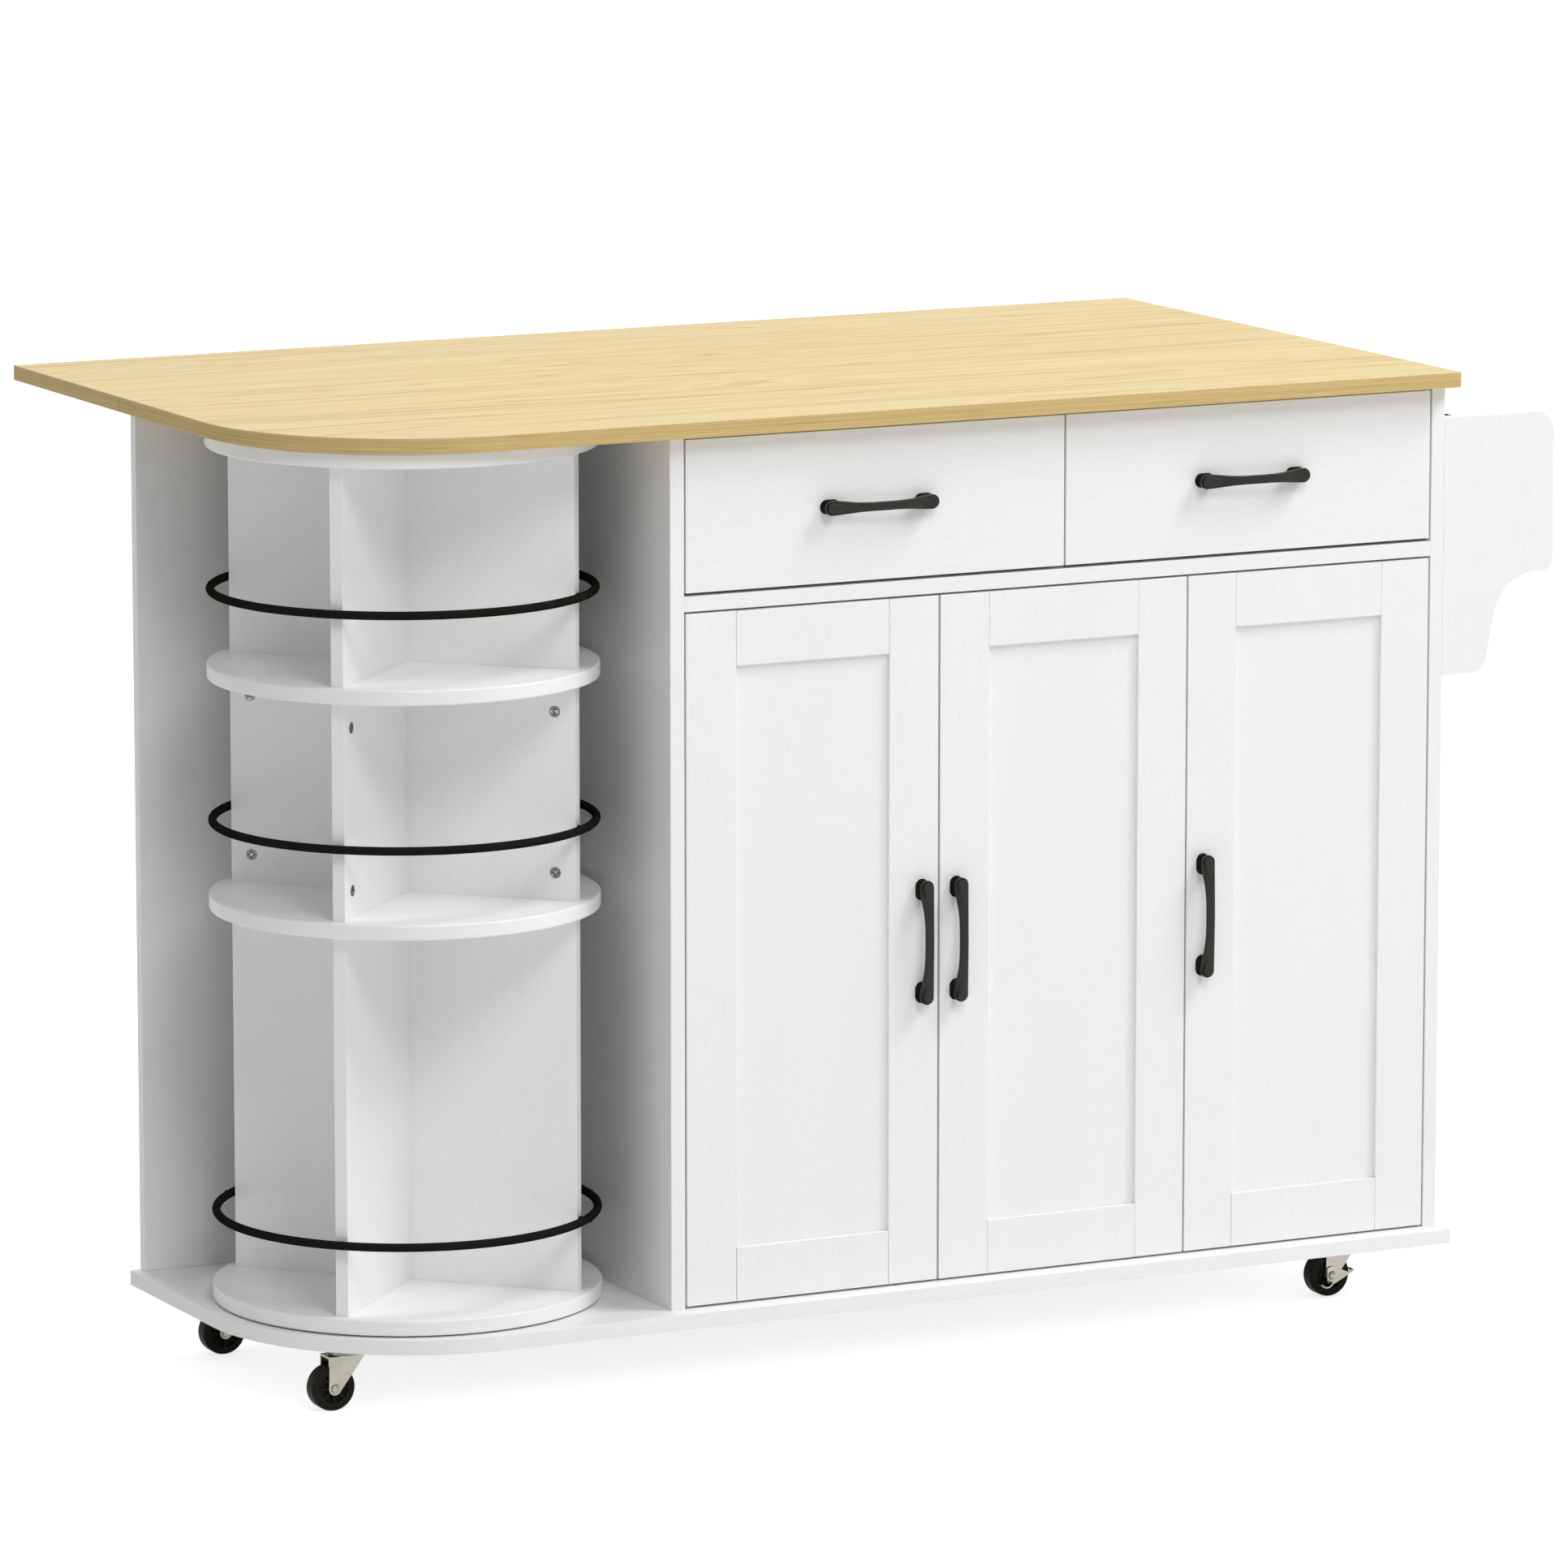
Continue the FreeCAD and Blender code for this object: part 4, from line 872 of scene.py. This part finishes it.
HINGE_SCREW = {"radius": 0.0042, "height": 0.0016}
BRACKET_SCREW = {"radius": 0.0036, "height": 0.0012}
PLATE_SCREW = {"radius": 0.0034, "height": 0.0020}
CUP_SCREW = {"radius": 0.0018, "height": 0.0008}
HANDLE_SCREW = {"radius": 0.0038, "height": 0.0014}
HINGE_RISE = 0.0031             # each rise goes from the board to the middle of the screw's head
BRACKET_RISE = 0.0024
PLATE_RISE = 0.0028
HANDLE_RISE = 0.0006
CUP_RISE = 0.0002               # from the cup's flange
HINGE_INSET = 0.021             # from the back end of the hinge
PLATE_INSET = 0.0055            # from the sides of the caster plate
HINGE_LIFT = 0.016              # each lift is half the spacing of two screws
CUP_LIFT = 0.0194
HANDLE_REACH = 0.048            # half the spacing of a handle's screws
RAIL_DROPS = (0.045, 0.165, 0.222)      # from the top of the wall channel
ARM_REACHES = (0.040, 0.120, 0.186)     # from the front end of the leaf's arm


class ISLAND_OT_screws(IslandOperator, bpy.types.Operator):
    """Put screw heads on the hinges, brackets and caster plates and behind the handles"""
    bl_idname = "island.screws"
    bl_label = "Screws"

    def hinge_seeds(self):
        """Two on each hinge plate. The plates of the left door face right, and all others face left."""
        door_low, door_high = corners(vertex.co for vertex in NODES["left_door_frame"].data.vertices)
        door_middle = (door_low.x + door_high.x) / 2
        seeds = []
        for low, high in lumps("hinge_arms"):
            way, face = (1, low.x) if low.x < door_middle else (-1, high.x)
            for lift in (-HINGE_LIFT, HINGE_LIFT):
                place = Vector((face + way * HINGE_RISE, high.y - HINGE_INSET, (low.z + high.z) / 2 + lift))
                seeds.append((place, Vector((way, 0, 0))))
        return seeds

    def rail_seeds(self):
        return [(Vector(((low.x + high.x) / 2, low.y + BRACKET_RISE, high.z - drop)), BACKWARD)
                for low, high in lumps("bracket_wall_rails") for drop in RAIL_DROPS]

    def arm_seeds(self):
        return [(Vector(((low.x + high.x) / 2, low.y + reach, high.z - BRACKET_RISE)), DOWN)
                for low, high in lumps("leaf_bracket_arms") for reach in ARM_REACHES]

    def plate_seeds(self):
        return [(Vector((x, y, high.z - PLATE_RISE)), DOWN) for low, high in lumps("caster_plates")
                for x in (low.x + PLATE_INSET, high.x - PLATE_INSET)
                for y in (low.y + PLATE_INSET, high.y - PLATE_INSET)]

    def cup_seeds(self, node):
        return [(Vector(((low.x + high.x) / 2, high.y + CUP_RISE, (low.z + high.z) / 2 + lift)), BACKWARD)
                for low, high in lumps(node) for lift in (-CUP_LIFT, CUP_LIFT)]

    def handle_seeds(self, handle, board):
        """Two on the back of the board that a handle is on."""
        (low, high), = lumps(handle)
        middle = (low + high) / 2
        middle.y = max(corner.y for pair in lumps(board) for corner in pair) + HANDLE_RISE
        along = RIGHT if lies_level(low, high) else UP
        return [(middle + along * HANDLE_REACH * side, BACKWARD) for side in (-1, 1)]

    def heads(self, name, body, seeds, size):
        """Screw heads on their seeds, as one piece."""
        finished(grown(name, screw_recipe(), seeds, **size), body, "zinc")

    def execute(self, context):
        self.heads("hinge_screws", "carcass", self.hinge_seeds(), HINGE_SCREW)
        self.heads("rail_screws", "carcass", self.rail_seeds(), BRACKET_SCREW)
        self.heads("arm_screws", "leaf", self.arm_seeds(), BRACKET_SCREW)
        self.heads("plate_screws", "carcass", self.plate_seeds(), PLATE_SCREW)
        for door in DOORS:
            self.heads(door + "_cup_screws", door, self.cup_seeds(door + "_hinge_cups"), CUP_SCREW)
        for owners, board in ((DOORS, "_frame"), (DRAWERS, "_front")):
            for owner in owners:
                seeds = self.handle_seeds(owner + "_handle", owner + board)
                self.heads(owner + "_handle_screws", owner, seeds, HANDLE_SCREW)
        return {"FINISHED"}


class ISLAND_OT_casters(IslandOperator, bpy.types.Operator):
    """Dress the casters"""
    bl_idname = "island.casters"
    bl_label = "Casters"

    def execute(self, context):
        # the plates' darkened zinc paints the shadow that the base board casts on them
        dressed("caster_plates", "dark_zinc", self.boards.metal_edge)
        for caster in CASTERS:
            dressed(caster + "_fork", "caster_steel", self.boards.fork_edge, segments=3)
            (low, high), = lumps(caster + "_wheel")
            middle = (low + high) / 2
            ends = [corner.y for pair in lumps(caster + "_fork") for corner in pair]
            seeds = [(Vector((middle.x, end, middle.z)), Vector((0, way, 0)))
                     for end, way in ((min(ends), -1), (max(ends), 1))]
            sink = BRAKED_RING_SINK if caster in BRAKED else RING_SINK
            for piece in (grown(caster + "_rivets", rivet_recipe(), seeds),
                          grown(caster + "_rivet_rings", rivet_ring_recipe(), seeds, sink=sink)):
                added_to(caster + "_fork", piece)
            dressed(caster + "_wheel", "black_plastic", 0)
        for caster in BRAKED:
            dressed(caster + "_brake", "caster_steel", self.boards.metal_edge)
        return {"FINISHED"}


FLOOR_HALF = 30.0               # half the side of the floor
FLOOR_COLOUR = (0.82, 0.82, 0.82, 1)
FLOOR_ROUGHNESS = 0.9
LAMP_AIM = Vector((0, 0, 0.5))
LAMPS = (                       # name, place and power of each lamp
    ("key", (3.39, -2.29, 5.55), 202), ("front", (-0.5, -4.8, 4.85), 110), ("rear", (0.0, 4.18, 5.48), 90))


class ISLAND_OT_stage(bpy.types.Operator):
    """Set the floor, the lights and the camera"""
    bl_idname = "island.stage"
    bl_label = "Stage"

    def show(self, tree, output, usual, seen):
        """Show the seen shader to rays from the camera, a mirror or glass, and the usual one to others."""
        path = tree.nodes.new("ShaderNodeLightPath")
        total = path.outputs["Is Camera Ray"]
        for name in ("Is Glossy Ray", "Is Transmission Ray"):
            most = tree.nodes.new("ShaderNodeMath")
            most.operation = "MAXIMUM"
            tree.links.new(total, most.inputs[0])
            tree.links.new(path.outputs[name], most.inputs[1])
            total = most.outputs[0]
        switch = tree.nodes.new("ShaderNodeMixShader")
        for entry, source in enumerate((total, usual, seen)):
            tree.links.new(source, switch.inputs[entry])
        tree.links.new(switch.outputs[0], output.inputs["Surface"])

    def floor(self, strength):
        h = FLOOR_HALF
        mesh = bpy.data.meshes.new("floor")
        mesh.from_pydata([(-h, -h, 0), (h, -h, 0), (h, h, 0), (-h, h, 0)], [], [(0, 1, 2, 3)])
        material = bpy.data.materials.new("floor_white")
        material.use_nodes = True
        tree = material.node_tree
        surface = tree.nodes["Principled BSDF"]
        surface.inputs["Base Color"].default_value = FLOOR_COLOUR
        surface.inputs["Roughness"].default_value = FLOOR_ROUGHNESS
        glow = tree.nodes.new("ShaderNodeEmission")
        glow.inputs["Strength"].default_value = strength
        both = tree.nodes.new("ShaderNodeAddShader")
        tree.links.new(surface.outputs[0], both.inputs[0])
        tree.links.new(glow.outputs[0], both.inputs[1])
        self.show(tree, tree.nodes["Material Output"], surface.outputs[0], both.outputs[0])
        mesh.materials.append(material)
        linked(mesh, "floor")

    def sky(self, strength):
        world = bpy.data.worlds.new("studio")
        bpy.context.scene.world = world
        world.use_nodes = True
        tree = world.node_tree
        tree.nodes.clear()
        light, backdrop = (tree.nodes.new("ShaderNodeBackground") for _ in range(2))
        for node, level in ((light, strength), (backdrop, 1.0)):
            node.inputs["Color"].default_value = (1, 1, 1, 1)
            node.inputs["Strength"].default_value = level
        output = tree.nodes.new("ShaderNodeOutputWorld")
        self.show(tree, output, light.outputs[0], backdrop.outputs[0])

    def lamp(self, name, place, power, width):
        light = bpy.data.lights.new(name, "AREA")
        light.shape = "DISK"
        light.size = width
        light.energy = power
        lamp = bpy.data.objects.new(name, light)
        lamp.location = place
        lamp.rotation_euler = (LAMP_AIM - Vector(place)).to_track_quat("-Z", "Y").to_euler()
        bpy.context.scene.collection.objects.link(lamp)

    def execute(self, context):
        stage = context.scene.island_stage
        self.floor(stage.floor_glow)
        self.sky(stage.sky)
        for name, place, power in LAMPS:
            self.lamp(name, place, power, stage.lamp_width)
        camera = bpy.data.objects.new("camera", bpy.data.cameras.new("camera"))
        camera.data.lens = stage.lens
        camera.data.sensor_width = stage.sensor
        camera.location = stage.camera_place
        camera.rotation_euler = (stage.camera_tilt, 0, stage.camera_turn)
        context.scene.collection.objects.link(camera)
        context.scene.camera = camera
        context.scene.view_settings.view_transform = "Standard"
        return {"FINISHED"}


BUILDERS = (ISLAND_OT_materials, ISLAND_OT_carcass, ISLAND_OT_tops, ISLAND_OT_doors, ISLAND_OT_drawers,
            ISLAND_OT_handles, ISLAND_OT_tower, ISLAND_OT_rack, ISLAND_OT_brackets, ISLAND_OT_hardware,
            ISLAND_OT_screws, ISLAND_OT_casters, ISLAND_OT_stage)


class ISLAND_PT_panel(bpy.types.Panel):
    """Lists the steps that build the island"""
    bl_idname = "ISLAND_PT_panel"
    bl_label = "Rolling kitchen island"
    bl_space_type = "VIEW_3D"
    bl_region_type = "UI"
    bl_category = "Island"

    def draw(self, context):
        for builder in BUILDERS:
            self.layout.operator(builder.bl_idname)


GROUPS = {"island_boards": IslandBoards, "island_colours": IslandColours, "island_stage": IslandStage}


def register():
    for name, group in GROUPS.items():
        bpy.utils.register_class(group)
        setattr(bpy.types.Scene, name, PointerProperty(type=group))
    for kind in BUILDERS + (ISLAND_PT_panel,):
        bpy.utils.register_class(kind)


def unregister():
    for kind in reversed(BUILDERS + (ISLAND_PT_panel,)):
        bpy.utils.unregister_class(kind)
    for name, group in GROUPS.items():
        delattr(bpy.types.Scene, name)
        bpy.utils.unregister_class(group)


def main():
    register()
    for builder in BUILDERS:
        step = builder.bl_idname.split(".")[1]
        getattr(bpy.ops.island, step)()


if __name__ == "__main__":
    main()
